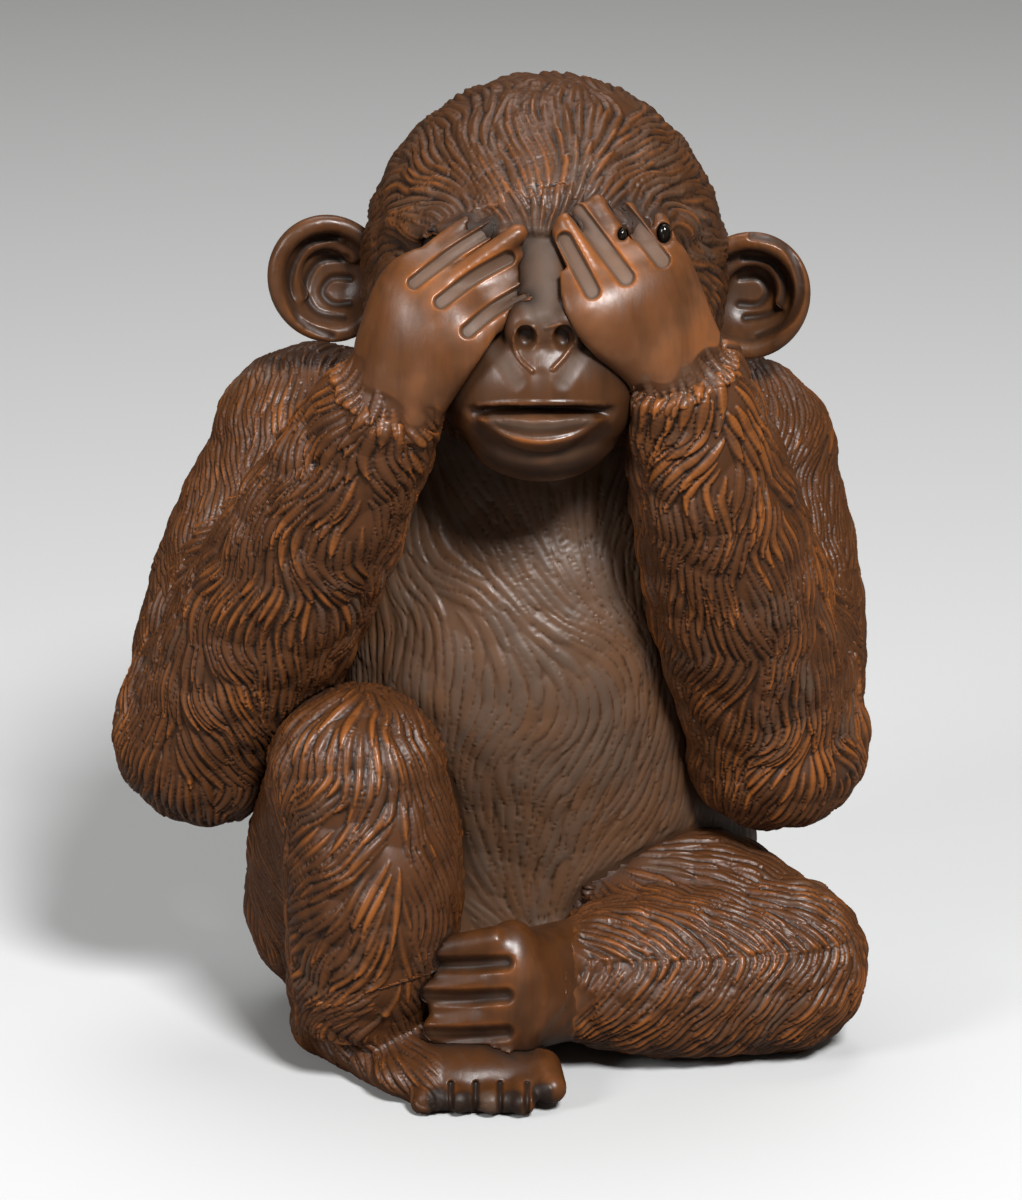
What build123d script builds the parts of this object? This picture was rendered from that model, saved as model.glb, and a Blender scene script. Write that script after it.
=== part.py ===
"""Seated monkey figurine with its hands over its eyes, carved in boxwood and joined from blocks.

Millimetres, +Z up. The monkey faces -Y and its own right is at -X.
The origin is the middle of the footprint, on the table.
Every block is carved to the block that it seats on, and the main joints are pinned with dowels.
"""

import os

from build123d import *

# Torso: heights, centres and full sizes of its level sections, from the seat to the neck
SEAT_WIDTH = 31.0
SEAT_DEPTH = 24.0
HIP_HEIGHT = 7.0
HIP_WIDTH = 36.0
HIP_DEPTH = 28.0
BELLY_HEIGHT = 17.0
BELLY_WIDTH = 35.0
BELLY_DEPTH = 28.0
WAIST_HEIGHT = 28.0
WAIST_WIDTH = 31.0
WAIST_DEPTH = 28.6
CHEST_HEIGHT = 38.0
CHEST_WIDTH = 31.0
CHEST_DEPTH = 26.0
SHOULDER_HEIGHT = 46.0
SHOULDER_WIDTH = 29.0
SHOULDER_DEPTH = 22.0
NECK_HEIGHT = 52.0
NECK_WIDTH = 20.0
NECK_DEPTH = 17.0
NECK_TOP = 56.0
NECK_TOP_WIDTH = 14.0
TORSO_X = 2.6
SEAT_Y = 10.4
CHEST_Y = 7.8
NECK_Y = 6.0

# Skull; all that lies on the face is placed from its front
HEAD_X = 4.0
SKULL_CENTRE = Vector(HEAD_X, 2.0, 60.2)
SKULL_WIDTH = 27.2
SKULL_DEPTH = 29.0
SKULL_HEIGHT = 29.0
FACE_FRONT = SKULL_CENTRE.Y - SKULL_DEPTH / 2

# Eyes: beads set in the face from the front
EYE_DIAMETER = 3.6
EYE_SPACING = 14.2
EYE_HEIGHT = 64.2
EYE_Y = FACE_FRONT + 4.3

# Brow, muzzle, chin, lip, nose and mouth
BROW_MIDDLE = Vector(HEAD_X, FACE_FRONT + 2.0, 65.7)
BROW_OVER_EYE = Vector(EYE_SPACING / 2, 2.1, -0.2)
BROW_END = Vector(10.2, 9.5, -1.2)
BROW_DEPTH = 3.4
BROW_HEIGHT = 3.2
GLABELLA_CENTRE = Vector(HEAD_X, FACE_FRONT + 2.3, 64.0)
GLABELLA_WIDTH = 7.6
GLABELLA_DEPTH = 5.6
GLABELLA_HEIGHT = 4.4
MUZZLE_CENTRE = Vector(HEAD_X - 0.3, FACE_FRONT + 2.7, 54.8)
MUZZLE_WIDTH = 15.4
MUZZLE_DEPTH = 15.4
MUZZLE_HEIGHT = 13.0
CHIN_CENTRE = Vector(HEAD_X - 0.3, FACE_FRONT + 2.7, 51.2)
CHIN_WIDTH = 11.6
CHIN_DEPTH = 12.6
CHIN_HEIGHT = 8.0
LIP_MIDDLE = Vector(HEAD_X - 0.3, FACE_FRONT - 3.7, 51.8)
LIP_CORNER = Vector(4.5, 1.5, 1.5)
LIP_THICKNESS = 2.0
LIP_CORNER_THICKNESS = 1.2
NOSE_TOP = Vector(HEAD_X, FACE_FRONT + 1.5, 64.4)
NOSE_TIP = Vector(HEAD_X - 0.1, FACE_FRONT - 2.7, 59.7)
NOSE_BRIDGE_WIDTH = 4.2
NOSE_BRIDGE_DEPTH = 3.4
NOSE_LOBE_WIDTH = 3.3
NOSE_LOBE_DEPTH = 3.6
NOSE_LOBE_HEIGHT = 4.0
NOSTRIL_WIDTH = 1.5
NOSTRIL_HEIGHT = 2.0
NOSTRIL_DEPTH = 1.6
NOSTRIL_SPACING = 2.7
NOSTRIL_DROP = 0.5
MOUTH_WIDTH = 10.8
MOUTH_GAP = 0.8
MOUTH_DEPTH = 2.6
MOUTH_BOW = 0.7
MOUTH_DROP = 0.8

# Face block: a plug that seats in the front of the head, drawn round the eyes and the jaw
ORBIT_MARGIN = 0.8
JAW_HEIGHT = 53.8
JAW_RADIUS = 9.0
FACE_SEAT_Y = FACE_FRONT + 6.9

# Ears: cupped oval shells, with their inner edges let into the head
EAR_WIDTH = 9.2
EAR_HEIGHT = 9.8
EAR_DEPTH = 3.4
EAR_WALL = 0.9
EAR_RIM = 1.3
EAR_FOLD_SHARE = 0.56
EAR_FOLD = 0.7
EAR_TURN = 24.0
EAR_TILT = 8.0
RIGHT_EAR = Vector(HEAD_X - SKULL_WIDTH / 2 - 2.5, SKULL_CENTRE.Y + 0.6, 59.3)
LEFT_EAR = Vector(HEAD_X + SKULL_WIDTH / 2 + 1.7, SKULL_CENTRE.Y + 0.6, 58.0)

# Arms: joints and girths
RIGHT_SHOULDER = Vector(-13.3, 9.0, 44.4)
RIGHT_ELBOW = Vector(-21.6, 1.6, 24.4)
RIGHT_WRIST = Vector(-7.4, FACE_FRONT - 0.7, 54.0)
LEFT_SHOULDER = Vector(18.2, 9.0, 43.6)
LEFT_ELBOW = Vector(21.6, 1.6, 24.0)
LEFT_WRIST = Vector(13.8, FACE_FRONT + 0.1, 55.8)
SHOULDER_GIRTH = 16.6
UPPER_ARM_GIRTH = 17.0
ELBOW_GIRTH = 14.4
FOREARM_GIRTH = 13.2
WRIST_WIDTH = 8.8
WRIST_THICKNESS = 7.0
LIMB_NECKING = 0.92

# Hands: a rounded back that thins under four fingers laid on the brow, with a lower web between each pair
PALM_WIDTH = 8.4
PALM_THICKNESS = 6.4
HAND_WIDTH = 9.0
HAND_THICKNESS = 5.0
HAND_ROOT = 1.0
KNUCKLE_THICKNESS = 3.0
HAND_END_SHARE = 0.5
HAND_END_THICKNESS = 1.0
FINGER_ROOT = 0.2
FINGER_DIAMETER = 1.8
FINGER_TIP_DIAMETER = 1.5
WEB_DIAMETER = 2.1
WEB_SINK = Vector(0.0, 0.5, 0.0)
RIGHT_KNUCKLES = (
    Vector(-6.5, FACE_FRONT - 0.5, 62.7),
    Vector(-4.7, FACE_FRONT - 2.1, 61.5),
    Vector(-3.0, FACE_FRONT - 3.1, 60.2),
    Vector(-1.6, FACE_FRONT - 3.5, 58.9),
)
RIGHT_FINGERTIPS = (
    Vector(-1.6, FACE_FRONT + 2.2, 66.2),
    Vector(2.0, FACE_FRONT - 0.3, 66.0),
    Vector(1.7, FACE_FRONT - 0.4, 62.8),
    Vector(2.6, FACE_FRONT - 2.5, 61.5),
)
LEFT_KNUCKLES = (
    Vector(13.2, FACE_FRONT + 0.1, 63.6),
    Vector(10.9, FACE_FRONT - 1.3, 62.8),
    Vector(8.3, FACE_FRONT - 2.7, 62.3),
    Vector(6.7, FACE_FRONT - 3.5, 61.7),
)
LEFT_FINGERTIPS = (
    Vector(12.2, FACE_FRONT + 3.2, 66.1),
    Vector(7.7, FACE_FRONT + 2.0, 67.7),
    Vector(5.4, FACE_FRONT - 0.3, 66.8),
    Vector(4.8, FACE_FRONT - 1.2, 65.5),
)

# Legs: joints and girths
RIGHT_HIP = Vector(-10.2, 6.0, 9.5)
RIGHT_KNEE = Vector(-10.0, -8.0, 23.9)
RIGHT_ANKLE = Vector(-10.4, -7.0, 4.6)
LEFT_HIP = Vector(10.0, 5.0, 9.0)
LEFT_KNEE = Vector(22.0, -2.8, 6.9)
LEFT_ANKLE = Vector(6.8, -6.4, 7.2)
HIP_GIRTH = 18.0
THIGH_GIRTH = 16.6
KNEE_GIRTH = 13.4
SHIN_GIRTH = 13.2
ANKLE_GIRTH = 10.0
RIGHT_SHIN_BOW = Vector(1.4, -1.6, 0.0)
LEFT_SHIN_BOW = Vector(0.0, 0.0, 0.0)

# Feet: heel, instep, ball and toes; the right one stands flat and the left one leans on it
FOOT_ROOT = 1.0
HEEL_WIDTH = 8.0
HEEL_HEIGHT = 7.0
RIGHT_HEEL = Vector(-11.4, -3.2, 3.0)
RIGHT_BALL = Vector(-2.0, -12.2, 1.9)
RIGHT_BALL_WIDTH = 14.4
RIGHT_BALL_LENGTH = 8.0
RIGHT_BALL_HEIGHT = 5.0
RIGHT_INSTEP_WIDTH = 9.6
RIGHT_INSTEP_HEIGHT = 6.0
LEFT_BALL = Vector(1.6, -11.2, 7.6)
LEFT_BALL_WIDTH = 11.6
LEFT_BALL_LENGTH = 6.0
LEFT_BALL_THICKNESS = 6.4
LEFT_INSTEP_WIDTH = 9.4
LEFT_INSTEP_THICKNESS = 7.0
TOE_COUNT = 4
TOE_DIAMETER = 2.4
TOE_TIP_DIAMETER = 2.0
TOE_WEB_DIAMETER = 2.2
TOE_WEB_SHARE = 0.9
RIGHT_TOE_START = Vector(-5.2, -13.2, 1.7)
RIGHT_TOE_STEP = Vector(2.4, -0.2, 0.0)
RIGHT_TOE_REACH = Vector(0.4, -3.4, -0.5)
RIGHT_TOE_WEB_SINK = Vector(0.0, 0.4, -0.2)
RIGHT_BIG_TOE = Vector(3.6, -12.4, 2.2)
BIG_TOE_REACH = Vector(0.9, -3.4, -0.4)
BIG_TOE_DIAMETER = 3.4
LEFT_TOE_START = Vector(0.8, -12.2, 12.2)
LEFT_TOE_STEP = Vector(0.3, -0.3, -2.9)
LEFT_TOE_REACH = Vector(-5.6, 0.0, -1.0)
LEFT_TOE_WEB_SINK = Vector(0.0, 0.6, 0.0)

# Dowels
DOWEL_DIAMETER = 3.0
DOWEL_HALF_LENGTH = 4.0
SMALL_DOWEL_DIAMETER = 2.0
SMALL_DOWEL_HALF_LENGTH = 2.4
DOWEL_CLEARANCE = 0.05
SOCKET_END_GAP = 0.3
RIGHT_HIP_SEAT = 0.4
LEFT_HIP_SEAT = 0.48

# Axes that several pieces share
ACROSS = Vector(1, 0, 0)
FORWARD = Vector(0, -1, 0)
UPWARD = Vector(0, 0, 1)


def between(start, end, share, shift=Vector(0, 0, 0)):
    """The point that lies the given share of the way from start to end, moved by shift."""
    return start + (end - start) * share + shift


def across_head(offset):
    """The same offset on the other side of the head."""
    return Vector(-offset.X, offset.Y, offset.Z)


def spheroid(centre, width, depth, height):
    """A rounded mass with the given full sizes about its centre."""
    with BuildPart(mode=Mode.PRIVATE) as mass:
        Sphere(0.5)
        scale(by=(width, depth, height))
    return Location(tuple(centre)) * mass.part


def ball(centre, diameter):
    """A round joint mass."""
    return Location(tuple(centre)) * Sphere(diameter / 2, mode=Mode.PRIVATE)


def section(point, normal, side, width, thickness):
    """One oval section of a limb, square to its path, with its width along side."""
    across = side - normal * side.dot(normal)
    with BuildSketch(Plane(origin=point, x_dir=across, z_dir=normal)) as oval:
        Ellipse(width / 2, thickness / 2)
    return oval.sketch


def limb(points, widths, thicknesses, side):
    """A limb through points, with the full width along side and the full thickness at each."""
    last = len(points) - 1
    headings = [
        (points[min(i + 1, last)] - points[max(i - 1, 0)]).normalized() for i in range(last + 1)
    ]
    with BuildPart(mode=Mode.PRIVATE) as form:
        loft(
            sections=[
                section(point, heading, side, width, thickness)
                for point, heading, width, thickness in zip(points, headings, widths, thicknesses)
            ]
        )
    return form.part


def digit(root, tip, root_diameter, tip_diameter):
    """A straight finger or toe that tapers from its root to the centre of its round tip."""
    axis = (tip - root).normalized()
    side = axis.cross(UPWARD + ACROSS).normalized()
    length = (tip - root).length
    with BuildPart(mode=Mode.PRIVATE) as form:
        with BuildSketch(Plane(origin=root, x_dir=side, z_dir=side.cross(axis))):
            with BuildLine():
                Line((0, 0), (root_diameter / 2, 0))
                Line((root_diameter / 2, 0), (tip_diameter / 2, length))
                CenterArc((0, length), tip_diameter / 2, 0, 90)
                Line((0, length + tip_diameter / 2), (0, 0))
            make_face()
        revolve(axis=Axis(root, axis))
    return form.part


def pin(start, end, diameter):
    """A round pin from start to end."""
    with BuildPart(mode=Mode.PRIVATE) as rod:
        with BuildSketch(Plane(origin=start, z_dir=end - start)):
            Circle(diameter / 2)
        extrude(amount=(end - start).length)
    return rod.part


def dowel_and_socket(middle, direction, diameter, half_length):
    """A dowel centred on a joint, and the hole that takes it with clearance at the wall and ends."""
    along = direction.normalized()
    reach = along * half_length
    gap = along * SOCKET_END_GAP
    dowel = pin(middle - reach, middle + reach, diameter)
    socket = pin(middle - reach - gap, middle + reach + gap, diameter + 2 * DOWEL_CLEARANCE)
    return dowel, socket


def arm_form(shoulder, elbow, wrist, knuckles):
    """A bent arm before it is seated: shoulder and elbow masses, joined by an upper arm and a forearm."""
    upper_girths = (SHOULDER_GIRTH * LIMB_NECKING, UPPER_ARM_GIRTH, ELBOW_GIRTH * LIMB_NECKING)
    upper = limb((shoulder, between(shoulder, elbow, 0.5), elbow), upper_girths, upper_girths, FORWARD)
    fore = limb(
        (elbow, between(elbow, wrist, 0.45), wrist),
        (ELBOW_GIRTH * LIMB_NECKING, FOREARM_GIRTH, WRIST_WIDTH),
        (ELBOW_GIRTH * LIMB_NECKING, FOREARM_GIRTH, WRIST_THICKNESS),
        knuckles[-1] - knuckles[0],
    )
    return ball(shoulder, SHOULDER_GIRTH), upper, ball(elbow, ELBOW_GIRTH), fore


def leg_form(hip, knee, ankle, bow, shin_side):
    """A bent leg before it is seated: hip and knee masses, joined to a thigh and a bowed shin."""
    thigh_girths = (HIP_GIRTH * LIMB_NECKING, THIGH_GIRTH, KNEE_GIRTH * LIMB_NECKING)
    thigh = limb((hip, between(hip, knee, 0.5), knee), thigh_girths, thigh_girths, ACROSS)
    shin_girths = (KNEE_GIRTH * LIMB_NECKING, SHIN_GIRTH, ANKLE_GIRTH)
    shin = limb((knee, between(knee, ankle, 0.45, bow), ankle), shin_girths, shin_girths, shin_side)
    return ball(hip, HIP_GIRTH), thigh, ball(knee, KNEE_GIRTH), shin


def hand_form(elbow, wrist, knuckles, fingertips):
    """A hand before it is seated: a back that thins out under the fingers, fingers, and webs between them."""
    row = knuckles[-1] - knuckles[0]
    middle = sum(knuckles, Vector()) / len(knuckles)
    reach = sum(fingertips, Vector()) / len(fingertips)
    root = wrist + (elbow - wrist).normalized() * HAND_ROOT
    back = limb(
        (root, between(wrist, middle, 0.45), middle, between(middle, reach, HAND_END_SHARE)),
        (PALM_WIDTH, HAND_WIDTH, row.length + KNUCKLE_THICKNESS, row.length + HAND_END_THICKNESS),
        (PALM_THICKNESS, HAND_THICKNESS, KNUCKLE_THICKNESS, HAND_END_THICKNESS),
        row,
    )
    fingers = [
        digit(between(knuckle, tip, -FINGER_ROOT), tip, FINGER_DIAMETER, FINGER_TIP_DIAMETER)
        for knuckle, tip in zip(knuckles, fingertips)
    ]
    webs = [
        digit(
            between(knuckles[i], knuckles[i + 1], 0.5, WEB_SINK),
            between(fingertips[i], fingertips[i + 1], 0.5, WEB_SINK),
            WEB_DIAMETER,
            FINGER_TIP_DIAMETER,
        )
        for i in range(len(knuckles) - 1)
    ]
    return back, *webs, *fingers


def toe_row(start, step, reach, sink):
    """A row of toes whose roots lie in the ball of a foot, with a lower web between each pair."""
    roots = [start + step * i for i in range(TOE_COUNT)]
    gaps = [start + step * (i + 0.5) + sink for i in range(TOE_COUNT - 1)]
    toes = [digit(root, root + reach, TOE_DIAMETER, TOE_TIP_DIAMETER) for root in roots]
    webs = [digit(gap, gap + reach * TOE_WEB_SHARE, TOE_WEB_DIAMETER, TOE_TIP_DIAMETER) for gap in gaps]
    return toes + webs


def ear_form(place, turn, tilt):
    """A cupped ear with a rolled rim and an inner fold, facing forward and turned outward."""
    facing = Plane(origin=place, x_dir=ACROSS, z_dir=FORWARD).rotated((0, turn, tilt))
    depth = EAR_DEPTH / EAR_WIDTH
    wall = EAR_WALL / EAR_WIDTH
    rim = EAR_RIM / EAR_WIDTH
    fold = EAR_FOLD / EAR_WIDTH
    with BuildPart(mode=Mode.PRIVATE) as shell:
        with BuildSketch(Plane.XZ):
            with BuildLine():
                Line((0, -depth), (0, wall - depth))
                Spline((0, wall - depth), (0.5 * EAR_FOLD_SHARE, wall - 0.75 * depth), (0.5 - rim, 0))
                ThreePointArc((0.5 - rim, 0), (0.5 - rim / 2, rim / 2), (0.5, 0))
                Spline((0.5, 0), (0.4, -0.7 * depth), (0, -depth))
            make_face()
        revolve(axis=Axis.Z)
        with BuildSketch(Plane.XZ):
            with Locations((0.5 * EAR_FOLD_SHARE, wall - 0.75 * depth)):
                Circle(fold)
        revolve(axis=Axis.Z, revolution_arc=200)
        scale(by=(EAR_WIDTH, EAR_HEIGHT, EAR_WIDTH))
    return facing.location * shell.part


# Dowels and their sockets
neck_pin, neck_socket = dowel_and_socket(
    Vector(HEAD_X, NECK_Y, NECK_TOP), UPWARD, DOWEL_DIAMETER, DOWEL_HALF_LENGTH
)
right_shoulder_pin, right_shoulder_socket = dowel_and_socket(
    RIGHT_SHOULDER, ACROSS, DOWEL_DIAMETER, DOWEL_HALF_LENGTH
)
left_shoulder_pin, left_shoulder_socket = dowel_and_socket(
    LEFT_SHOULDER, ACROSS, DOWEL_DIAMETER, DOWEL_HALF_LENGTH
)
right_hip_pin, right_hip_socket = dowel_and_socket(
    between(RIGHT_HIP, RIGHT_KNEE, RIGHT_HIP_SEAT), RIGHT_KNEE - RIGHT_HIP, DOWEL_DIAMETER, DOWEL_HALF_LENGTH
)
left_hip_pin, left_hip_socket = dowel_and_socket(
    between(LEFT_HIP, LEFT_KNEE, LEFT_HIP_SEAT), LEFT_KNEE - LEFT_HIP, DOWEL_DIAMETER, DOWEL_HALF_LENGTH
)
right_wrist_pin, right_wrist_socket = dowel_and_socket(
    RIGHT_WRIST, RIGHT_WRIST - RIGHT_ELBOW, SMALL_DOWEL_DIAMETER, SMALL_DOWEL_HALF_LENGTH
)
left_wrist_pin, left_wrist_socket = dowel_and_socket(
    LEFT_WRIST, LEFT_WRIST - LEFT_ELBOW, SMALL_DOWEL_DIAMETER, SMALL_DOWEL_HALF_LENGTH
)
right_ankle_pin, right_ankle_socket = dowel_and_socket(
    RIGHT_ANKLE, -UPWARD, SMALL_DOWEL_DIAMETER, SMALL_DOWEL_HALF_LENGTH
)
left_ankle_pin, left_ankle_socket = dowel_and_socket(
    LEFT_ANKLE, LEFT_ANKLE - LEFT_KNEE, SMALL_DOWEL_DIAMETER, SMALL_DOWEL_HALF_LENGTH
)

# Torso
with BuildPart() as torso:
    for height, y, width, depth in (
        (0, SEAT_Y, SEAT_WIDTH, SEAT_DEPTH),
        (HIP_HEIGHT, SEAT_Y, HIP_WIDTH, HIP_DEPTH),
        (BELLY_HEIGHT, SEAT_Y, BELLY_WIDTH, BELLY_DEPTH),
        (WAIST_HEIGHT, CHEST_Y, WAIST_WIDTH, WAIST_DEPTH),
        (CHEST_HEIGHT, CHEST_Y, CHEST_WIDTH, CHEST_DEPTH),
        (SHOULDER_HEIGHT, CHEST_Y, SHOULDER_WIDTH, SHOULDER_DEPTH),
        (NECK_HEIGHT, NECK_Y, NECK_WIDTH, NECK_DEPTH),
        (NECK_TOP, NECK_Y, NECK_TOP_WIDTH, NECK_TOP_WIDTH),
    ):
        with BuildSketch(Plane.XY.offset(height)):
            with Locations((TORSO_X, y)):
                Ellipse(width / 2, depth / 2)
    loft()
    torso_form = torso.part
    add(
        (neck_socket, right_shoulder_socket, left_shoulder_socket, right_hip_socket, left_hip_socket),
        mode=Mode.SUBTRACT,
    )
torso.part.label = "torso"

# Ears
with BuildPart() as right_ear:
    add(ear_form(RIGHT_EAR, -EAR_TURN, EAR_TILT))
right_ear.part.label = "right_ear"

with BuildPart() as left_ear:
    add(ear_form(LEFT_EAR, EAR_TURN, -EAR_TILT))
left_ear.part.label = "left_ear"

# Head and face, carved together and parted round an oval plug
with BuildPart() as carved_head:
    add(spheroid(SKULL_CENTRE, SKULL_WIDTH, SKULL_DEPTH, SKULL_HEIGHT))
    add(
        limb(
            (
                BROW_MIDDLE + across_head(BROW_END),
                BROW_MIDDLE + across_head(BROW_OVER_EYE),
                BROW_MIDDLE,
                BROW_MIDDLE + BROW_OVER_EYE,
                BROW_MIDDLE + BROW_END,
            ),
            [BROW_HEIGHT] * 5,
            [BROW_DEPTH] * 5,
            UPWARD,
        )
    )
    add(spheroid(GLABELLA_CENTRE, GLABELLA_WIDTH, GLABELLA_DEPTH, GLABELLA_HEIGHT))
    add(spheroid(MUZZLE_CENTRE, MUZZLE_WIDTH, MUZZLE_DEPTH, MUZZLE_HEIGHT))
    add(spheroid(CHIN_CENTRE, CHIN_WIDTH, CHIN_DEPTH, CHIN_HEIGHT))
    add(
        limb(
            (LIP_MIDDLE + across_head(LIP_CORNER), LIP_MIDDLE, LIP_MIDDLE + LIP_CORNER),
            (LIP_CORNER_THICKNESS, LIP_THICKNESS, LIP_CORNER_THICKNESS),
            (LIP_CORNER_THICKNESS, LIP_THICKNESS, LIP_CORNER_THICKNESS),
            UPWARD,
        )
    )
    add(
        limb(
            (NOSE_TOP, between(NOSE_TOP, NOSE_TIP, 0.5), NOSE_TIP),
            [NOSE_BRIDGE_WIDTH] * 3,
            [NOSE_BRIDGE_DEPTH] * 3,
            ACROSS,
        )
    )
    for lobe in (NOSE_TIP - ACROSS * NOSTRIL_SPACING / 2, NOSE_TIP + ACROSS * NOSTRIL_SPACING / 2):
        add(spheroid(lobe, NOSE_LOBE_WIDTH, NOSE_LOBE_DEPTH, NOSE_LOBE_HEIGHT))
    add(torso_form, mode=Mode.SUBTRACT)

with BuildPart() as face_plug:
    with BuildSketch(Plane(origin=(HEAD_X, FACE_SEAT_Y, JAW_HEIGHT), x_dir=ACROSS, z_dir=FORWARD)):
        Circle(JAW_RADIUS)
        with Locations((0, EYE_HEIGHT - JAW_HEIGHT)):
            with GridLocations(EYE_SPACING, 0, 2, 1):
                Circle(EYE_DIAMETER / 2 + ORBIT_MARGIN)
        make_hull()
    extrude(amount=SKULL_DEPTH)

with BuildPart() as head:
    add(carved_head.part)
    add(face_plug.part, mode=Mode.SUBTRACT)
    add(neck_socket, mode=Mode.SUBTRACT)
    add((right_ear.part, left_ear.part), mode=Mode.SUBTRACT)
head.part.label = "head"

# Eyes: beads let into the face
right_bead = ball(Vector(HEAD_X - EYE_SPACING / 2, EYE_Y, EYE_HEIGHT), EYE_DIAMETER)
left_bead = ball(Vector(HEAD_X + EYE_SPACING / 2, EYE_Y, EYE_HEIGHT), EYE_DIAMETER)

# Face: the plug with its eye seats, mouth and nostrils cut in
mouth_middle = MUZZLE_CENTRE.Z - MOUTH_DROP
muzzle_front = MUZZLE_CENTRE.Y - MUZZLE_DEPTH / 2
nose_front = NOSE_TIP.Y - NOSE_LOBE_DEPTH / 2
with BuildPart() as face:
    add(carved_head.part)
    add(face_plug.part, mode=Mode.INTERSECT)
    add(right_bead, mode=Mode.SUBTRACT)
    add(left_bead, mode=Mode.SUBTRACT)
    with BuildSketch(
        Plane(origin=(MUZZLE_CENTRE.X, muzzle_front + MOUTH_DEPTH, mouth_middle), x_dir=ACROSS, z_dir=FORWARD)
    ):
        with BuildLine():
            lips = ThreePointArc((-MOUTH_WIDTH / 2, -MOUTH_BOW), (0, 0), (MOUTH_WIDTH / 2, -MOUTH_BOW))
        SlotArc(lips, MOUTH_GAP)
    extrude(amount=2 * MOUTH_DEPTH, mode=Mode.SUBTRACT)
    with BuildSketch(
        Plane(
            origin=(NOSE_TIP.X, nose_front + NOSTRIL_DEPTH, NOSE_TIP.Z - NOSTRIL_DROP),
            x_dir=ACROSS,
            z_dir=FORWARD,
        )
    ):
        with GridLocations(NOSTRIL_SPACING, 0, 2, 1):
            Ellipse(NOSTRIL_WIDTH / 2, NOSTRIL_HEIGHT / 2)
    extrude(amount=2 * NOSTRIL_DEPTH, mode=Mode.SUBTRACT)
face.part.label = "face"

# Arms
with BuildPart() as right_arm:
    for mass in arm_form(RIGHT_SHOULDER, RIGHT_ELBOW, RIGHT_WRIST, RIGHT_KNUCKLES):
        add(mass)
    add((torso_form, head.part, face.part), mode=Mode.SUBTRACT)
    add((right_shoulder_socket, right_wrist_socket), mode=Mode.SUBTRACT)
right_arm.part.label = "right_arm"

with BuildPart() as left_arm:
    for mass in arm_form(LEFT_SHOULDER, LEFT_ELBOW, LEFT_WRIST, LEFT_KNUCKLES):
        add(mass)
    add((torso_form, head.part, face.part), mode=Mode.SUBTRACT)
    add((left_shoulder_socket, left_wrist_socket), mode=Mode.SUBTRACT)
left_arm.part.label = "left_arm"

# Hands
with BuildPart() as right_hand:
    for mass in hand_form(RIGHT_ELBOW, RIGHT_WRIST, RIGHT_KNUCKLES, RIGHT_FINGERTIPS):
        add(mass)
    add((carved_head.part, right_arm.part, right_wrist_socket), mode=Mode.SUBTRACT)
right_hand.part.label = "right_hand"

with BuildPart() as left_hand:
    for mass in hand_form(LEFT_ELBOW, LEFT_WRIST, LEFT_KNUCKLES, LEFT_FINGERTIPS):
        add(mass)
    add((carved_head.part, left_arm.part, left_wrist_socket), mode=Mode.SUBTRACT)
left_hand.part.label = "left_hand"

# Eyes, cut where a finger lies on them
with BuildPart() as right_eye:
    add(right_bead)
    add(right_hand.part, mode=Mode.SUBTRACT)
right_eye.part.label = "right_eye"

with BuildPart() as left_eye:
    add(left_bead)
    add(left_hand.part, mode=Mode.SUBTRACT)
left_eye.part.label = "left_eye"

# Legs
with BuildPart() as right_leg:
    for mass in leg_form(RIGHT_HIP, RIGHT_KNEE, RIGHT_ANKLE, RIGHT_SHIN_BOW, ACROSS):
        add(mass)
    split(bisect_by=Plane.XY)
    add((torso_form, right_arm.part), mode=Mode.SUBTRACT)
    add((right_hip_socket, right_ankle_socket), mode=Mode.SUBTRACT)
right_leg.part.label = "right_leg"

with BuildPart() as left_leg:
    for mass in leg_form(LEFT_HIP, LEFT_KNEE, LEFT_ANKLE, LEFT_SHIN_BOW, UPWARD):
        add(mass)
    split(bisect_by=Plane.XY)
    add((torso_form, left_arm.part), mode=Mode.SUBTRACT)
    add((left_hip_socket, left_ankle_socket), mode=Mode.SUBTRACT)
left_leg.part.label = "left_leg"

# Feet
with BuildPart() as right_foot:
    add(spheroid(RIGHT_HEEL, HEEL_WIDTH, HEEL_WIDTH, HEEL_HEIGHT))
    add(
        limb(
            (RIGHT_HEEL, between(RIGHT_HEEL, RIGHT_BALL, 0.5), RIGHT_BALL),
            (HEEL_WIDTH * LIMB_NECKING, RIGHT_INSTEP_WIDTH, RIGHT_INSTEP_WIDTH),
            (HEEL_HEIGHT * LIMB_NECKING, RIGHT_INSTEP_HEIGHT, RIGHT_BALL_HEIGHT * LIMB_NECKING),
            ACROSS,
        )
    )
    add(spheroid(RIGHT_BALL, RIGHT_BALL_WIDTH, RIGHT_BALL_LENGTH, RIGHT_BALL_HEIGHT))
    for toe in toe_row(RIGHT_TOE_START, RIGHT_TOE_STEP, RIGHT_TOE_REACH, RIGHT_TOE_WEB_SINK):
        add(toe)
    add(digit(RIGHT_BIG_TOE, RIGHT_BIG_TOE + BIG_TOE_REACH, BIG_TOE_DIAMETER, TOE_DIAMETER))
    split(bisect_by=Plane.XY)
    add((torso_form, right_leg.part, left_leg.part), mode=Mode.SUBTRACT)
    add(right_ankle_socket, mode=Mode.SUBTRACT)
right_foot.part.label = "right_foot"

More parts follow.
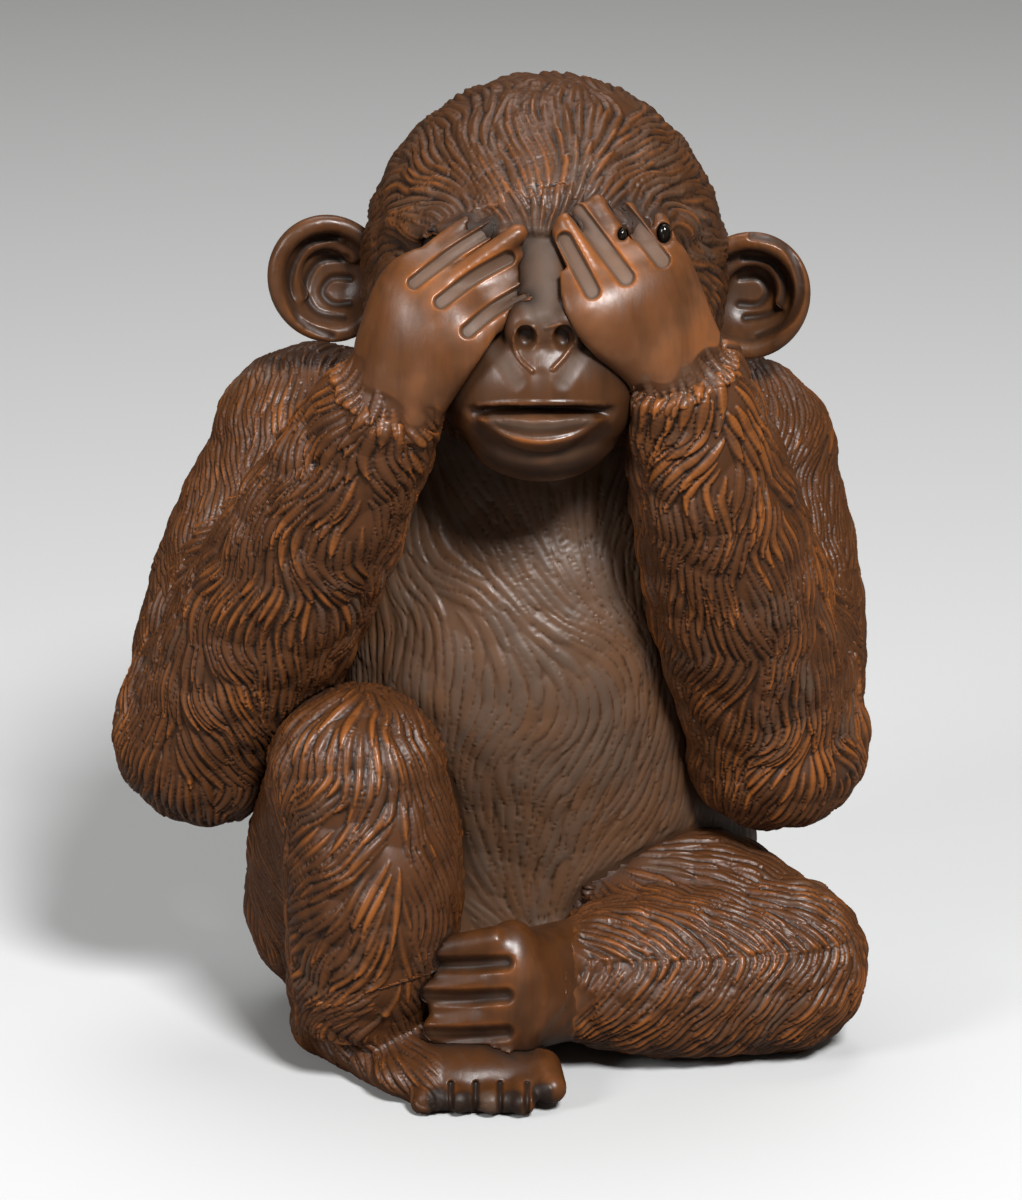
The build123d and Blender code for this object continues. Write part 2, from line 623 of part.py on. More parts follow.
with BuildPart() as left_foot:
    add(
        limb(
            (
                LEFT_ANKLE + (LEFT_KNEE - LEFT_ANKLE).normalized() * FOOT_ROOT,
                between(LEFT_ANKLE, LEFT_BALL, 0.5),
                LEFT_BALL,
            ),
            (ANKLE_GIRTH * LIMB_NECKING, LEFT_INSTEP_WIDTH, LEFT_INSTEP_WIDTH),
            (ANKLE_GIRTH * LIMB_NECKING, LEFT_INSTEP_THICKNESS, LEFT_INSTEP_THICKNESS),
            UPWARD,
        )
    )
    add(spheroid(LEFT_BALL, LEFT_BALL_LENGTH, LEFT_BALL_THICKNESS, LEFT_BALL_WIDTH))
    for toe in toe_row(LEFT_TOE_START, LEFT_TOE_STEP, LEFT_TOE_REACH, LEFT_TOE_WEB_SINK):
        add(toe)
    add((torso_form, right_leg.part, left_leg.part, right_foot.part), mode=Mode.SUBTRACT)
    add(left_ankle_socket, mode=Mode.SUBTRACT)
left_foot.part.label = "left_foot"

# Dowels, hidden in their joints
with BuildPart() as neck_dowel:
    add(neck_pin)
neck_dowel.part.label = "neck_dowel"

with BuildPart() as shoulder_dowels:
    add((right_shoulder_pin, left_shoulder_pin))
shoulder_dowels.part.label = "shoulder_dowels"

with BuildPart() as hip_dowels:
    add((right_hip_pin, left_hip_pin))
hip_dowels.part.label = "hip_dowels"

with BuildPart() as wrist_dowels:
    add((right_wrist_pin, left_wrist_pin))
wrist_dowels.part.label = "wrist_dowels"

with BuildPart() as ankle_dowels:
    add((right_ankle_pin, left_ankle_pin))
ankle_dowels.part.label = "ankle_dowels"

# Every piece, moved together so that the origin is the middle of the footprint
pieces = (
    torso,
    head,
    face,
    right_ear,
    left_ear,
    right_eye,
    left_eye,
    right_arm,
    left_arm,
    right_hand,
    left_hand,
    right_leg,
    left_leg,
    right_foot,
    left_foot,
    neck_dowel,
    shoulder_dowels,
    hip_dowels,
    wrist_dowels,
    ankle_dowels,
)
middle = Compound([piece.part for piece in pieces]).bounding_box().center()
to_origin = Location((-middle.X, -middle.Y, 0))
os.makedirs("parts", exist_ok=True)
for piece in pieces:
    placed = to_origin * piece.part
    placed.label = piece.part.label
    export_step(placed, f"parts/{placed.label}.step")
print("moved to the origin by", -middle.X, -middle.Y)
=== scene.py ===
"""The seated monkey figurine, dressed: stained boxwood with carved fur, and a bare face, hands and feet."""

import logging
import math
from collections.abc import Callable
from dataclasses import dataclass, field
from enum import Enum

import bmesh
import bpy
import numpy as np
from mathutils import Euler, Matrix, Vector
from mathutils.bvhtree import BVHTree
from mathutils.kdtree import KDTree


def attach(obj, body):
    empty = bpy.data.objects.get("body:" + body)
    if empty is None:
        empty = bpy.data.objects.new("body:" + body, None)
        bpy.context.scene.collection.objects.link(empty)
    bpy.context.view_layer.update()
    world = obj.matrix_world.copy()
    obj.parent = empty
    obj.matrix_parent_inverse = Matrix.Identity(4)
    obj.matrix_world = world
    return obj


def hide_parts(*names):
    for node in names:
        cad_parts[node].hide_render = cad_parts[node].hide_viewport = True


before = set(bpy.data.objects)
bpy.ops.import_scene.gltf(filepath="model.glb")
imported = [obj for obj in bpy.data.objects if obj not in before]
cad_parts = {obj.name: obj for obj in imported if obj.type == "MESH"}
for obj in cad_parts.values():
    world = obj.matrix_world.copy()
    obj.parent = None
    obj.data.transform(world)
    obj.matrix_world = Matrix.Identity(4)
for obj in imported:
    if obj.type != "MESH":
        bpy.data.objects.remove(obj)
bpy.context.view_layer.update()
log = logging.getLogger("monkey")

Array = np.ndarray
Triple = tuple[float, float, float]
Trim = tuple[Triple, Triple]
PER_METRE = 1000.0
REACH = 4.0
MERGE_GAP = 1e-7
STRAND_LEVEL = 0.62
LOCK_LEVEL = 0.55
LOCK_SWELL = 1.1
# Painted shade near other blocks: how dark it gets and how fast it fades with distance.
CREVICE_PAINTED_SHADE = 0.85
CREVICE_REACH = 0.6
PICTURE_MIDDLE = (511, 600)
MM_PER_PIXEL = 0.0762
Pixel = tuple[float, float]


class Slot(Enum):
    """The record's material slots."""

    FUR = "fur_wood"
    BARE = "bare_wood"
    EYE = "eye_horn"


class Side(Enum):
    """The monkey's own right and left, as directions along X."""

    RIGHT = -1.0
    LEFT = 1.0


def unit(vectors: Array) -> Array:
    """Scales vectors to length one.

    Args:
        vectors: One vector, or rows of vectors.

    Returns:
        The same vectors at length one.
    """
    return vectors / np.maximum(np.linalg.norm(vectors, axis=-1, keepdims=True), 1e-9)


def ease(values: Array, low: float, high: float) -> Array:
    """Goes smoothly from 0 at low to 1 at high.

    Args:
        values: Numbers to map.
        low: Value that gives 0.
        high: Value that gives 1.

    Returns:
        The eased numbers.
    """
    share = np.clip((values - low) / (high - low), 0.0, 1.0)
    return share * share * (3.0 - 2.0 * share)


def column(values: Array) -> Array:
    """Turns a row of numbers into a column, to scale vectors by."""
    return values[:, None]


def blend(share: Array, first: Array, second: Array) -> Array:
    """Mixes directions.

    Args:
        share: 0 gives the first and 1 the second.
        first: Directions.
        second: Directions.

    Returns:
        The mixed directions at length one.
    """
    return unit(first * column(1.0 - share) + second * column(share))


def ripple(points: Array, size: float, seed: int) -> Array:
    """Makes smooth random waves in space.

    Args:
        points: Where the waves are read.
        size: Length of a wave.
        seed: Start of the random choices.

    Returns:
        One number a point, about -1 to 1.
    """
    rng = np.random.default_rng(seed)
    total = np.zeros(len(points))
    for _ in range(4):
        heading = unit(rng.normal(size=3)) * (2.0 * math.pi / (size * rng.uniform(0.7, 1.4)))
        total += np.sin(points @ heading + rng.uniform(0.0, 2.0 * math.pi))
    return total / 2.4


def along_limb(points: Array, start: Triple, end: Triple) -> tuple[Array, Array, Array]:
    """Places points along a limb's line.

    Args:
        points: The points.
        start: Where the line starts.
        end: Where it ends.

    Returns:
        The line's direction, each point's offset from the line, and its distance from the stretch.
    """
    first, last = np.array(start), np.array(end)
    axis = unit(last - first)
    reach = (points - first) @ axis
    inside = np.clip(reach, 0.0, np.linalg.norm(last - first))
    offset = points - first - np.outer(reach, axis)
    return axis, offset, np.linalg.norm(points - first - np.outer(inside, axis), axis=1)


def everywhere(way: Triple | Array, points: Array) -> Array:
    """Gives one direction, at length one, to every point."""
    return np.tile(unit(np.array(way)), (len(points), 1))


def parted(place: Triple | Array, way: Triple | Array, overlap: float) -> tuple[Trim, Trim]:
    """Parts two pieces that run into each other.

    Args:
        place: A point between them.
        way: Direction from the first to the second.
        overlap: How far each runs on past the point.

    Returns:
        The trim that ends the first, and the one that ends the second.
    """
    middle, onward = np.array(place), np.array(way)
    first, second = ((tuple(middle + onward * overlap * s), tuple(onward * s)) for s in (1.0, -1.0))
    return first, second


def node_form(*names: str) -> bmesh.types.BMesh:
    """Copies CAD nodes into one form.

    Args:
        names: The nodes.

    Returns:
        Their shapes with doubles merged, in millimetres.
    """
    form = bmesh.new()
    for name in names:
        form.from_mesh(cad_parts[name].data)
    bmesh.ops.remove_doubles(form, verts=form.verts, dist=MERGE_GAP)
    bmesh.ops.scale(form, vec=(PER_METRE,) * 3, verts=form.verts)
    return form


def shaped(name: str, form: bmesh.types.BMesh) -> bpy.types.Object:
    """Makes an object and puts it in the scene.

    Args:
        name: The object's name.
        form: Its shape, which is used up.

    Returns:
        The object.
    """
    mesh = bpy.data.meshes.new(name)
    form.to_mesh(mesh)
    form.free()
    made = bpy.data.objects.new(name, mesh)
    bpy.context.scene.collection.objects.link(made)
    return made


@dataclass(frozen=True)
class Sight:
    """Where the figure is seen from, in millimetres and radians.

    Attributes:
        target: The point looked at.
        elevation: Height of the line of sight above the horizon.
        distance: From the eye to the target.
    """

    target: Triple
    elevation: float
    distance: float

    def back(self) -> Array:
        """Gives the direction from the target to the eye."""
        return np.array((0.0, -math.cos(self.elevation), math.sin(self.elevation)))

    def seen(self, points: Array) -> Array:
        """Projects points on the upright picture through the target.

        Args:
            points: The points.

        Returns:
            Places to the right of and above the target, in millimetres.
        """
        offset = points - np.array(self.target)
        up = np.array((0.0, math.sin(self.elevation), math.cos(self.elevation)))
        scale = self.distance / (self.distance - offset @ self.back())
        return np.stack((offset[:, 0] * scale, offset @ up * scale), axis=1)


SIGHT = Sight((1.5, -0.31, 34.2), math.radians(16.0), 390.0)


@dataclass(frozen=True)
class Gouge:
    """One cut from the front, drawn in the picture through the sight's target.

    Attributes:
        path: Corners of its middle line, in millimetres.
        width: Its width.
        depth: How deep it goes; below 0 it is a ridge.
        edge: Width of its sloping sides.
        grey: How grey its floor is, from 0 to 1.
        dark: How dark its floor is, from 0 to 1.
    """

    path: tuple[tuple[float, float], ...]
    width: float
    depth: float
    edge: float = 0.3
    grey: float = 0.0
    dark: float = 0.0

    def line(self) -> list[Array]:
        """Rounds the corners of the path.

        Returns:
            Places along the rounded line.
        """
        corners = [np.array(place) for place in (self.path[0], *self.path, self.path[-1])]
        places = []
        for a, b, c, d in zip(corners, corners[1:], corners[2:], corners[3:]):
            for t in (0.0, 0.25, 0.5, 0.75):
                bend = 2 * a - 5 * b + 4 * c - d + t * (3 * b - a - 3 * c + d)
                places.append(b + 0.5 * t * (c - a + t * bend))
        return [*places, corners[-1]]

    def share(self, seen: Array) -> Array:
        """Says how much of the cut's depth each place gets.

        Args:
            seen: Places in the picture.

        Returns:
            1 on the floor and 0 outside.
        """
        distance = np.full(len(seen), np.inf)
        line = self.line()
        for first, last in zip(line, line[1:]):
            way = last - first
            along = np.clip((seen - first) @ way / max(np.sum(way**2), 1e-9), 0.0, 1.0)
            gap = np.linalg.norm(seen - first - np.outer(along, way), axis=1)
            distance = np.minimum(distance, gap)
        return ease(distance, 0.5 * (self.width + self.edge), 0.5 * (self.width - self.edge))


@dataclass(frozen=True)
class Punch:
    """One oval hole from the front.

    Attributes:
        middle: Its middle in the picture through the sight's target, in millimetres.
        size: Its width and height.
        floor: Where it ends, along Y.
    """

    middle: tuple[float, float]
    size: tuple[float, float]
    floor: float

    def sight_line(self) -> tuple[Vector, Vector]:
        """Gives the point that the hole is seen from, and the direction to it."""
        back = Vector(SIGHT.back())
        up = Vector((0.0, math.sin(SIGHT.elevation), math.cos(SIGHT.elevation)))
        eye = Vector(SIGHT.target) + back * SIGHT.distance
        place = Vector(SIGHT.target) + Vector((self.middle[0], 0.0, 0.0)) + up * self.middle[1]
        return eye, (place - eye).normalized()

    def tool(self) -> bpy.types.Object:
        """Makes the shape to cut with.

        Returns:
            A bar along the line of sight.
        """
        eye, line = self.sight_line()
        end = eye + line * ((self.floor - eye.y) / line.y)
        form = bmesh.new()
        bmesh.ops.create_cone(form, cap_ends=True, segments=24, radius1=0.5, radius2=0.5, depth=1.0)
        bmesh.ops.translate(form, vec=(0.0, 0.0, 0.5), verts=form.verts)
        bmesh.ops.scale(form, vec=(*self.size, 30.0), verts=form.verts)
        bmesh.ops.rotate(form, matrix=(-line).to_track_quat("Z", "Y").to_matrix(), verts=form.verts)
        bmesh.ops.translate(form, vec=end, verts=form.verts)
        return shaped("punch", form)


class Surface:
    """A dense carved surface, held as arrays in millimetres."""

    def __init__(self, mesh: bpy.types.Mesh) -> None:
        """Reads the mesh.

        Args:
            mesh: A closed mesh, in millimetres.
        """
        places = np.empty(len(mesh.vertices) * 3)
        mesh.vertices.foreach_get("co", places)
        ends = np.empty(len(mesh.edges) * 2, dtype=np.int32)
        mesh.edges.foreach_get("vertices", ends)
        mesh.calc_loop_triangles()
        corners = np.empty(len(mesh.loop_triangles) * 3, dtype=np.int32)
        mesh.loop_triangles.foreach_get("vertices", corners)
        self.points = places.reshape(-1, 3)
        self.edges = ends.reshape(-1, 2)
        self.triangles = corners.reshape(-1, 3)
        self.degree = np.maximum(np.bincount(ends, minlength=len(self.points)), 1)
        self.normals = self.facing()

    def facing(self) -> Array:
        """Works out the outward direction at every point.

        Returns:
            One unit vector a point.
        """
        a, b, c = (self.points[self.triangles[:, i]] for i in range(3))
        faces = np.cross(b - a, c - a)
        total = np.zeros_like(self.points)
        for corner in range(3):
            for axis in range(3):
                total[:, axis] += np.bincount(self.triangles[:, corner], faces[:, axis], len(total))
        return unit(total)

    def around(self, values: Array) -> Array:
        """Averages values over each point's neighbours.

        Args:
            values: One number or vector a point.

        Returns:
            The neighbours' mean at each point.
        """
        first, second = self.edges.T
        rows = values.reshape(len(self.points), -1)
        total = np.empty_like(rows)
        for i in range(rows.shape[1]):
            total[:, i] = np.bincount(first, rows[second, i], len(rows))
            total[:, i] += np.bincount(second, rows[first, i], len(rows))
        return (total / column(self.degree)).reshape(values.shape)

    def blurred(self, values: Array, passes: int) -> Array:
        """Smooths values over the surface.

        Args:
            values: One number or vector a point.
            passes: How often they are mixed with their neighbours.

        Returns:
            The smoothed values.
        """
        for _ in range(passes):
            values = 0.5 * (values + self.around(values))
        return values

    def soften(self, passes: int, freedom: Array) -> None:
        """Rounds edges and creases.

        Args:
            passes: How often each point moves toward its neighbours.
            freedom: How far each point may follow, from 0 to 1.
        """
        for _ in range(passes):
            self.points = self.points + column(0.5 * freedom) * (self.around(self.points) - self.points)
        self.normals = self.facing()

    def fill(self, passes: int, freedom: Array) -> None:
        """Fills creases up, and leaves what stands proud as it is.

        Args:
            passes: How often each point rises toward its neighbours.
            freedom: How far each point may follow, from 0 to 1.
        """
        for turn in range(passes):
            if turn % 8 == 0:
                self.normals = self.facing()
            rise = np.einsum("ij,ij->i", self.around(self.points) - self.points, self.normals)
            self.points = self.points + self.normals * column(0.6 * freedom * np.maximum(rise, 0.0))
        self.normals = self.facing()

    def tree(self) -> KDTree:
        """Sorts the points for searches by place."""
        tree = KDTree(len(self.points))
        for i, point in enumerate(self.points):
            tree.insert(point, i)
        tree.balance()
        return tree

    def gap_to(self, faces: BVHTree | None) -> Array:
        """Measures how far each point is from other blocks.

        Args:
            faces: The faces of the other blocks, if there are any.

        Returns:
            One distance a point, at most the search's reach.
        """
        if faces is None:
            return np.full(len(self.points), REACH)
        hits = (faces.find_nearest(point, REACH)[3] for point in self.points)
        return np.array([REACH if hit is None else hit for hit in hits])

    def crests(self, passes: int, scale: float) -> Array:
        """Tells crests from hollows.

        Args:
            passes: How wide the neighbourhood is.
            scale: Depth in millimetres that counts as a full hollow.

        Returns:
            0 in a hollow, 0.5 on a flat and 1 on a crest.
        """
        mean = self.blurred(self.points, passes)
        rise = np.einsum("ij,ij->i", self.points - mean, self.normals)
        return np.clip(0.5 + rise / (2.0 * scale), 0.0, 1.0)

    def turned(self, flow: Array, angle: Array | float) -> Array:
        """Lays directions in the surface and turns them there.

        Args:
            flow: One direction a point.
            angle: Turn at each point, in radians.

        Returns:
            The turned directions.
        """
        flat = unit(flow - self.normals * column(np.einsum("ij,ij->i", flow, self.normals)))
        side = np.cross(self.normals, flat)
        turn = np.broadcast_to(angle, len(flat))
        return flat * column(np.cos(turn)) + side * column(np.sin(turn))


@dataclass
class Nearness:
    """How far each point is from other blocks, in millimetres.

    Attributes:
        contact: Distance to other blocks.
        seam: Distance to the block whose fur runs out here.
    """

    contact: Array
    seam: Array


@dataclass
class Coat:
    """How the fur of one block is cut, point by point, in millimetres.

    Attributes:
        flow: Direction in which the strands lie.
        width: Width of a strand.
        length: Length of a strand.
        depth: Depth of the cuts, 0 where the wood is bare.
        squareness: Shape of a strand's back, from 2 for round upward to flat.
        lock: Width of a lock of strands.
        stray: Typical turn of a lock, in radians.
        start: Order in which strands are laid, from the flow's end up; by height if nothing is given.
    """

    flow: Array
    width: Array
    length: Array
    depth: Array
    squareness: float = 2.5
    lock: float = 3.4
    stray: float = 0.2
    start: Array | None = None


@dataclass
class Carver:
    """Cuts overlapping strands into a surface, each with a rounded back and a raised tip.

    Attributes:
        surface: The surface to cut.
        coat: How its fur lies.
        seed: Start of the random choices.
        step: Stride along a strand, in millimetres.
        root_lift: Height of a strand's root, as a share of its tip's.
        most_locks: How many points are tried as the middle of a lock.
        least_depth: Depth under which the wood counts as bare.
        scatter: How far the order of the strands is shuffled, in millimetres.
    """

    surface: Surface
    coat: Coat
    seed: int
    step: float = 0.35
    root_lift: float = 0.5
    most_locks: int = 6000
    least_depth: float = 0.03
    scatter: float = 2.5

    def __post_init__(self) -> None:
        """Sorts the points and gathers the strands into locks."""
        self.tree = self.surface.tree()
        self.flow = self.surface.turned(self.coat.flow, 0.0)
        self.height = np.full(len(self.surface.points), 0.3)
        self.tint = np.full(len(self.height), 0.5)
        self.swell = np.zeros(len(self.height))
        self.shade = np.zeros(len(self.height))
        self.gather()

    def gather(self) -> None:
        """Turns each lock a little, and notes how high each point lies in its lock."""
        rng = np.random.default_rng(self.seed + 1)
        points, size = self.surface.points, self.coat.lock
        free = np.ones(len(points), dtype=bool)
        middles = []
        for i in rng.permutation(len(points))[: self.most_locks]:
            if free[i]:
                free[[hit[1] for hit in self.tree.find_range(points[i], 0.8 * size)]] = False
                middles.append(i)
        nearest = KDTree(len(middles))
        for place, i in enumerate(middles):
            nearest.insert(points[i], place)
        nearest.balance()
        found = [nearest.find(point)[1:] for point in points - 0.35 * size * self.flow]
        index = np.array([hit[0] for hit in found])
        distance = np.array([hit[1] for hit in found])
        turn = rng.normal(0.0, self.coat.stray, len(middles))[index]
        self.flow = self.surface.turned(self.flow, turn)
        self.swell = np.exp(-((distance / (0.7 * size)) ** 2))
        self.shade = rng.random(len(middles))[index]

    def cut(self) -> None:
        """Lays the strands one by one, wherever there is still room for a root."""
        rng = np.random.default_rng(self.seed)
        points, normals, coat = self.surface.points, self.surface.normals, self.coat
        taken = coat.depth < self.least_depth
        start = points[:, 2] if coat.start is None else coat.start
        for root in np.argsort(start + rng.uniform(0.0, self.scatter, len(points))):
            if taken[root]:
                continue
            width = coat.width[root] * rng.uniform(0.8, 1.2)
            length = coat.length[root] * rng.uniform(0.7, 1.25)
            near = np.array([hit[1] for hit in self.tree.find_range(points[root], 0.42 * length)])
            offset = points[near] - points[root]
            along = offset @ self.flow[root]
            across = np.linalg.norm(offset - column(along) * self.flow[root], axis=1)
            taken[near[(across < 0.72 * width) & (normals[near] @ normals[root] > 0.2)]] = True
            self.stroke(root, width, length, 0.5 * self.shade[root] + 0.5 * rng.random())

    def stroke(self, root: int, width: float, length: float, shade: float) -> None:
        """Lays one strand along the flow.

        Args:
            root: The point where the strand starts.
            width: Full width of the strand.
            length: Length of the strand.
            shade: Tint of the strand, from 0 to 1.
        """
        points, normals = self.surface.points, self.surface.normals
        count = max(4, round(length / self.step))
        place, index = points[root], root
        heading = self.flow[root]
        for share in np.linspace(0.0, 1.0, count):
            heading = unit(0.5 * heading + 0.5 * self.flow[index])
            side = np.cross(normals[index], heading)
            tip = max(0.0, (share - 0.6) / 0.42)
            taper = min(1.0, 0.45 + 1.6 * share) * math.sqrt(max(0.04, 1.0 - tip**2))
            half = 0.5 * width * taper
            reach = 1.15 * max(half, 0.6 * self.step)
            near = np.array([hit[1] for hit in self.tree.find_range(place, reach)])
            if len(near):
                offset = points[near] - place
                across = np.abs(offset @ side) / half
                inside = (across < 1.0) & (np.abs(offset @ heading) < 0.7 * self.step)
                inside &= normals[near] @ normals[index] > 0.1
                near, across = near[inside], across[inside]
                lift = self.root_lift + (1.0 - self.root_lift) * share**0.8
                self.height[near] = lift * np.sqrt(1.0 - across**self.coat.squareness)
                self.tint[near] = shade
            ahead = place + heading * self.step
            index = self.tree.find(ahead)[1]
            place = ahead - normals[index] * ((ahead - points[index]) @ normals[index])


class Value:
    """A number in a shader: its operators add Math nodes."""

    def __init__(self, shader: "Shader", socket: bpy.types.NodeSocket) -> None:
        """Wraps an output socket.

        Args:
            shader: The shader that the socket is in.
            socket: The output that gives the number.
        """
        self.shader = shader
        self.socket = socket

    def join(self, operation: str, first: "Value | float", second: "Value | float") -> "Value":
        """Adds one Math node.

        Args:
            operation: The node's operation.
            first: Its first number.
            second: Its second number.

        Returns:
            The node's result.
        """
        node = self.shader.node("ShaderNodeMath", {"operation": operation}, {0: first, 1: second})
        return Value(self.shader, node.outputs[0])

    def __add__(self, other: "Value | float") -> "Value":
        """Adds."""
        return self.join("ADD", self, other)

    def __radd__(self, other: float) -> "Value":
        """Adds to a plain number."""
        return self.join("ADD", other, self)

    def __sub__(self, other: "Value | float") -> "Value":
        """Subtracts."""
        return self.join("SUBTRACT", self, other)

    def __rsub__(self, other: float) -> "Value":
        """Subtracts from a plain number."""
        return self.join("SUBTRACT", other, self)

    def __mul__(self, other: "Value | float") -> "Value":
        """Multiplies."""
        return self.join("MULTIPLY", self, other)

    def __rmul__(self, other: float) -> "Value":
        """Multiplies a plain number."""
        return self.join("MULTIPLY", other, self)

    def smooth(self, low: float, high: float) -> "Value":
        """Rises smoothly from 0 at low to 1 at high.

        Args:
            low: Value that gives 0.
            high: Value that gives 1.

        Returns:
            The eased number.
        """
        settings = {"interpolation_type": "SMOOTHSTEP"}
        inputs = {"Value": self, "From Min": low, "From Max": high}
        node = self.shader.node("ShaderNodeMapRange", settings, inputs)
        return Value(self.shader, node.outputs["Result"])


class Shader:
    """Builds one material's nodes."""

    def __init__(self, name: str) -> None:
        """Starts the material.

        Args:
            name: The material's name.
        """
        self.material = bpy.data.materials.new(name)
        self.material.use_nodes = True
        self.tree = self.material.node_tree
        self.surface = self.tree.nodes["Principled BSDF"]
        self.place = self.node("ShaderNodeTexCoord", {}, {}).outputs["Object"]

    def node(self, kind: str, settings: dict, inputs: dict) -> bpy.types.Node:
        """Adds a node.

        Args:
            kind: The node's type.
            settings: Its properties, which are set first.
            inputs: A value or a link for each named or numbered socket.

        Returns:
            The node.
        """
        node = self.tree.nodes.new(kind)
        for name, setting in settings.items():
            setattr(node, name, setting)
        for name, given in inputs.items():
            self.feed(node.inputs[name], given)
        return node

    def feed(self, socket: bpy.types.NodeSocket, given: object) -> None:
        """Links a socket or sets its value.

        Args:
            socket: The input.
            given: A shader number, an output socket, a colour or a plain number.
        """
        if isinstance(given, Value):
            self.tree.links.new(given.socket, socket)
        elif isinstance(given, bpy.types.NodeSocket):
            self.tree.links.new(given, socket)
        elif isinstance(given, tuple) and socket.type == "RGBA":
            socket.default_value = (*given, 1.0)
        else:
            socket.default_value = given

    def attribute(self, name: str) -> Value:
        """Reads a number that is stored on the piece's points.

        Args:
            name: The attribute's name.

        Returns:
            The number.
        """
        node = self.node("ShaderNodeAttribute", {"attribute_name": name}, {})
        return Value(self, node.outputs["Fac"])

    def noise(self, scale: float, detail: float, stretch: Triple = (1.0, 1.0, 1.0)) -> Value:
        """Makes a cloudy pattern on the piece's own coordinates.

        Args:
            scale: Patches in a metre.
            detail: How fine the pattern gets.
            stretch: Scale along each axis.

        Returns:
            The pattern, around 0.5.
        """
        mapping = self.node("ShaderNodeMapping", {}, {"Vector": self.place, "Scale": stretch})
        inputs = {"Vector": mapping.outputs["Vector"], "Scale": scale, "Detail": detail, "Roughness": 0.55}
        return Value(self, self.node("ShaderNodeTexNoise", {}, inputs).outputs[0])

    def mix(self, share: Value, first: object, second: object) -> bpy.types.NodeSocket:
        """Mixes two colours.

        Args:
            share: 0 gives the first and 1 the second.
            first: A colour or an output socket.
            second: A colour or an output socket.

        Returns:
            The mixed colour's socket.
        """
        node = self.node("ShaderNodeMix", {"data_type": "RGBA", "blend_type": "MIX"}, {"Factor": share})
        self.feed(node.inputs[6], first)
        self.feed(node.inputs[7], second)
        return node.outputs[2]

    def finish(
        self, colour: object, roughness: object, bump: Value | None, height: float
    ) -> bpy.types.Material:
        """Feeds the surface.

        Args:
            colour: A colour or its socket.
            roughness: A number or a shader number.
            bump: Fine relief, or nothing.
            height: Depth of the fine relief in metres.

        Returns:
            The material.
        """
        self.feed(self.surface.inputs["Base Color"], colour)
        self.feed(self.surface.inputs["Roughness"], roughness)
        if bump is not None:
            node = self.node("ShaderNodeBump", {}, {"Height": bump, "Distance": height, "Strength": 1.0})
            self.feed(self.surface.inputs["Normal"], node.outputs["Normal"])
        return self.material


@dataclass(frozen=True)
class Tones:
    """The colours of one kind of carved surface.

    Attributes:
        cut: Stain left in the cuts; it is also the colour of the painted shade in creases and wide hollows.
        wood: The stained wood.
        worn: Wood rubbed through on what stands proud.
        dust: Dull grey-brown patches.
        wear: How much is rubbed through, from 0 to 1.
        dull: How much is dull, from 0 to 1.
    """

    cut: Triple
    wood: Triple
    worn: Triple
    dust: Triple
    wear: float
    dull: float


@dataclass(frozen=True)
class CarvedFinish:
    """Stained and waxed wood, with fur and bare areas that run into each other."""

    name: str
    fur: Tones
    bare: Tones

    def colour(self, shader: Shader, tones: Tones, crest: Value, tint: Value) -> bpy.types.NodeSocket:
        """Colours one kind of surface.

        Args:
            shader: The shader.
            tones: The colours.
            crest: 0 in the cuts and 1 on the crests.
            tint: Tint of the strand.

        Returns:
            The colour's socket.
        """
        patches = shader.noise(140.0, 3.0)
        base = shader.mix(crest.smooth(0.16, 0.52), tones.cut, tones.wood)
        dulled = (patches - tint * 0.35 + 0.3).smooth(0.95 - tones.dull, 1.25 - tones.dull)
        base = shader.mix(dulled * crest.smooth(0.3, 0.6), base, tones.dust)
        rubbed = (crest + tint * 0.35 + patches * 0.9).smooth(1.65 - tones.wear, 2.05 - tones.wear)
        return shader.mix(rubbed, base, tones.worn)

    def material(self) -> bpy.types.Material:
        """Builds the material.

        Returns:
            The finish as a material.
        """
        shader = Shader(self.name)
        crest, tint = shader.attribute("crest"), shader.attribute("tint")
        furred, dark, grey = (shader.attribute(name) for name in ("furred", "dark", "grey"))
        grain = shader.noise(1100.0, 4.0, (1.0, 1.0, 0.3))
        bare = self.colour(shader, self.bare, crest, tint)
        colour = shader.mix(furred, bare, self.colour(shader, self.fur, crest, tint))
        streaks = shader.noise(430.0, 3.0, (1.0, 1.0, 0.14)).smooth(0.42, 0.72)
        colour = shader.mix(grain.smooth(0.45, 0.8) * 0.22, colour, self.fur.cut)
        colour = shader.mix(streaks * 0.4 * (1.0 - furred), colour, self.fur.cut)
        # The 'grey' number takes the colour to the dust tone: grey floors of cuts and a worn nail, and a
        # painted highlight band along the cheek folds.
        colour = shader.mix(grey, colour, self.bare.dust)
        # The 'dark' number takes the colour to the cut stain: real stain on the nails and in the toe, sole
        # and ear cuts, and painted shade in the creases between blocks, under the lower lip and under the
        # chin.
        colour = shader.mix(dark, colour, self.fur.cut)
        rough = 0.4 + 0.08 * furred - 0.12 * crest.smooth(0.35, 0.8)
        rough = rough + 0.25 * (dark + grey) + 0.3 * (grain - 0.5)
        shader.surface.inputs["Specular IOR Level"].default_value = 0.42
        return shader.finish(colour, rough, grain, 0.00003)


@dataclass(frozen=True)
class HornFinish:
    """Polished dark horn."""

    name: str
    dark: Triple
    light: Triple

    def material(self) -> bpy.types.Material:
        """Builds the material.

        Returns:
            The finish as a material.
        """
        shader = Shader(self.name)
        base = shader.mix(shader.noise(600.0, 3.0).smooth(0.4, 0.8), self.dark, self.light)
        return shader.finish(base, 0.12, None, 0.0)


@dataclass(frozen=True)
class DowelFinish:
    """Plain split hardwood, with its grain along the pin."""

    name: str
    light: Triple
    dark: Triple

    def material(self) -> bpy.types.Material:
        """Builds the material.

        Returns:
            The finish as a material.
        """
        shader = Shader(self.name)
        grain = shader.noise(1500.0, 4.0, (1.0, 1.0, 0.1))
        return shader.finish(shader.mix(grain.smooth(0.3, 0.7), self.light, self.dark), 0.6, grain, 0.00003)


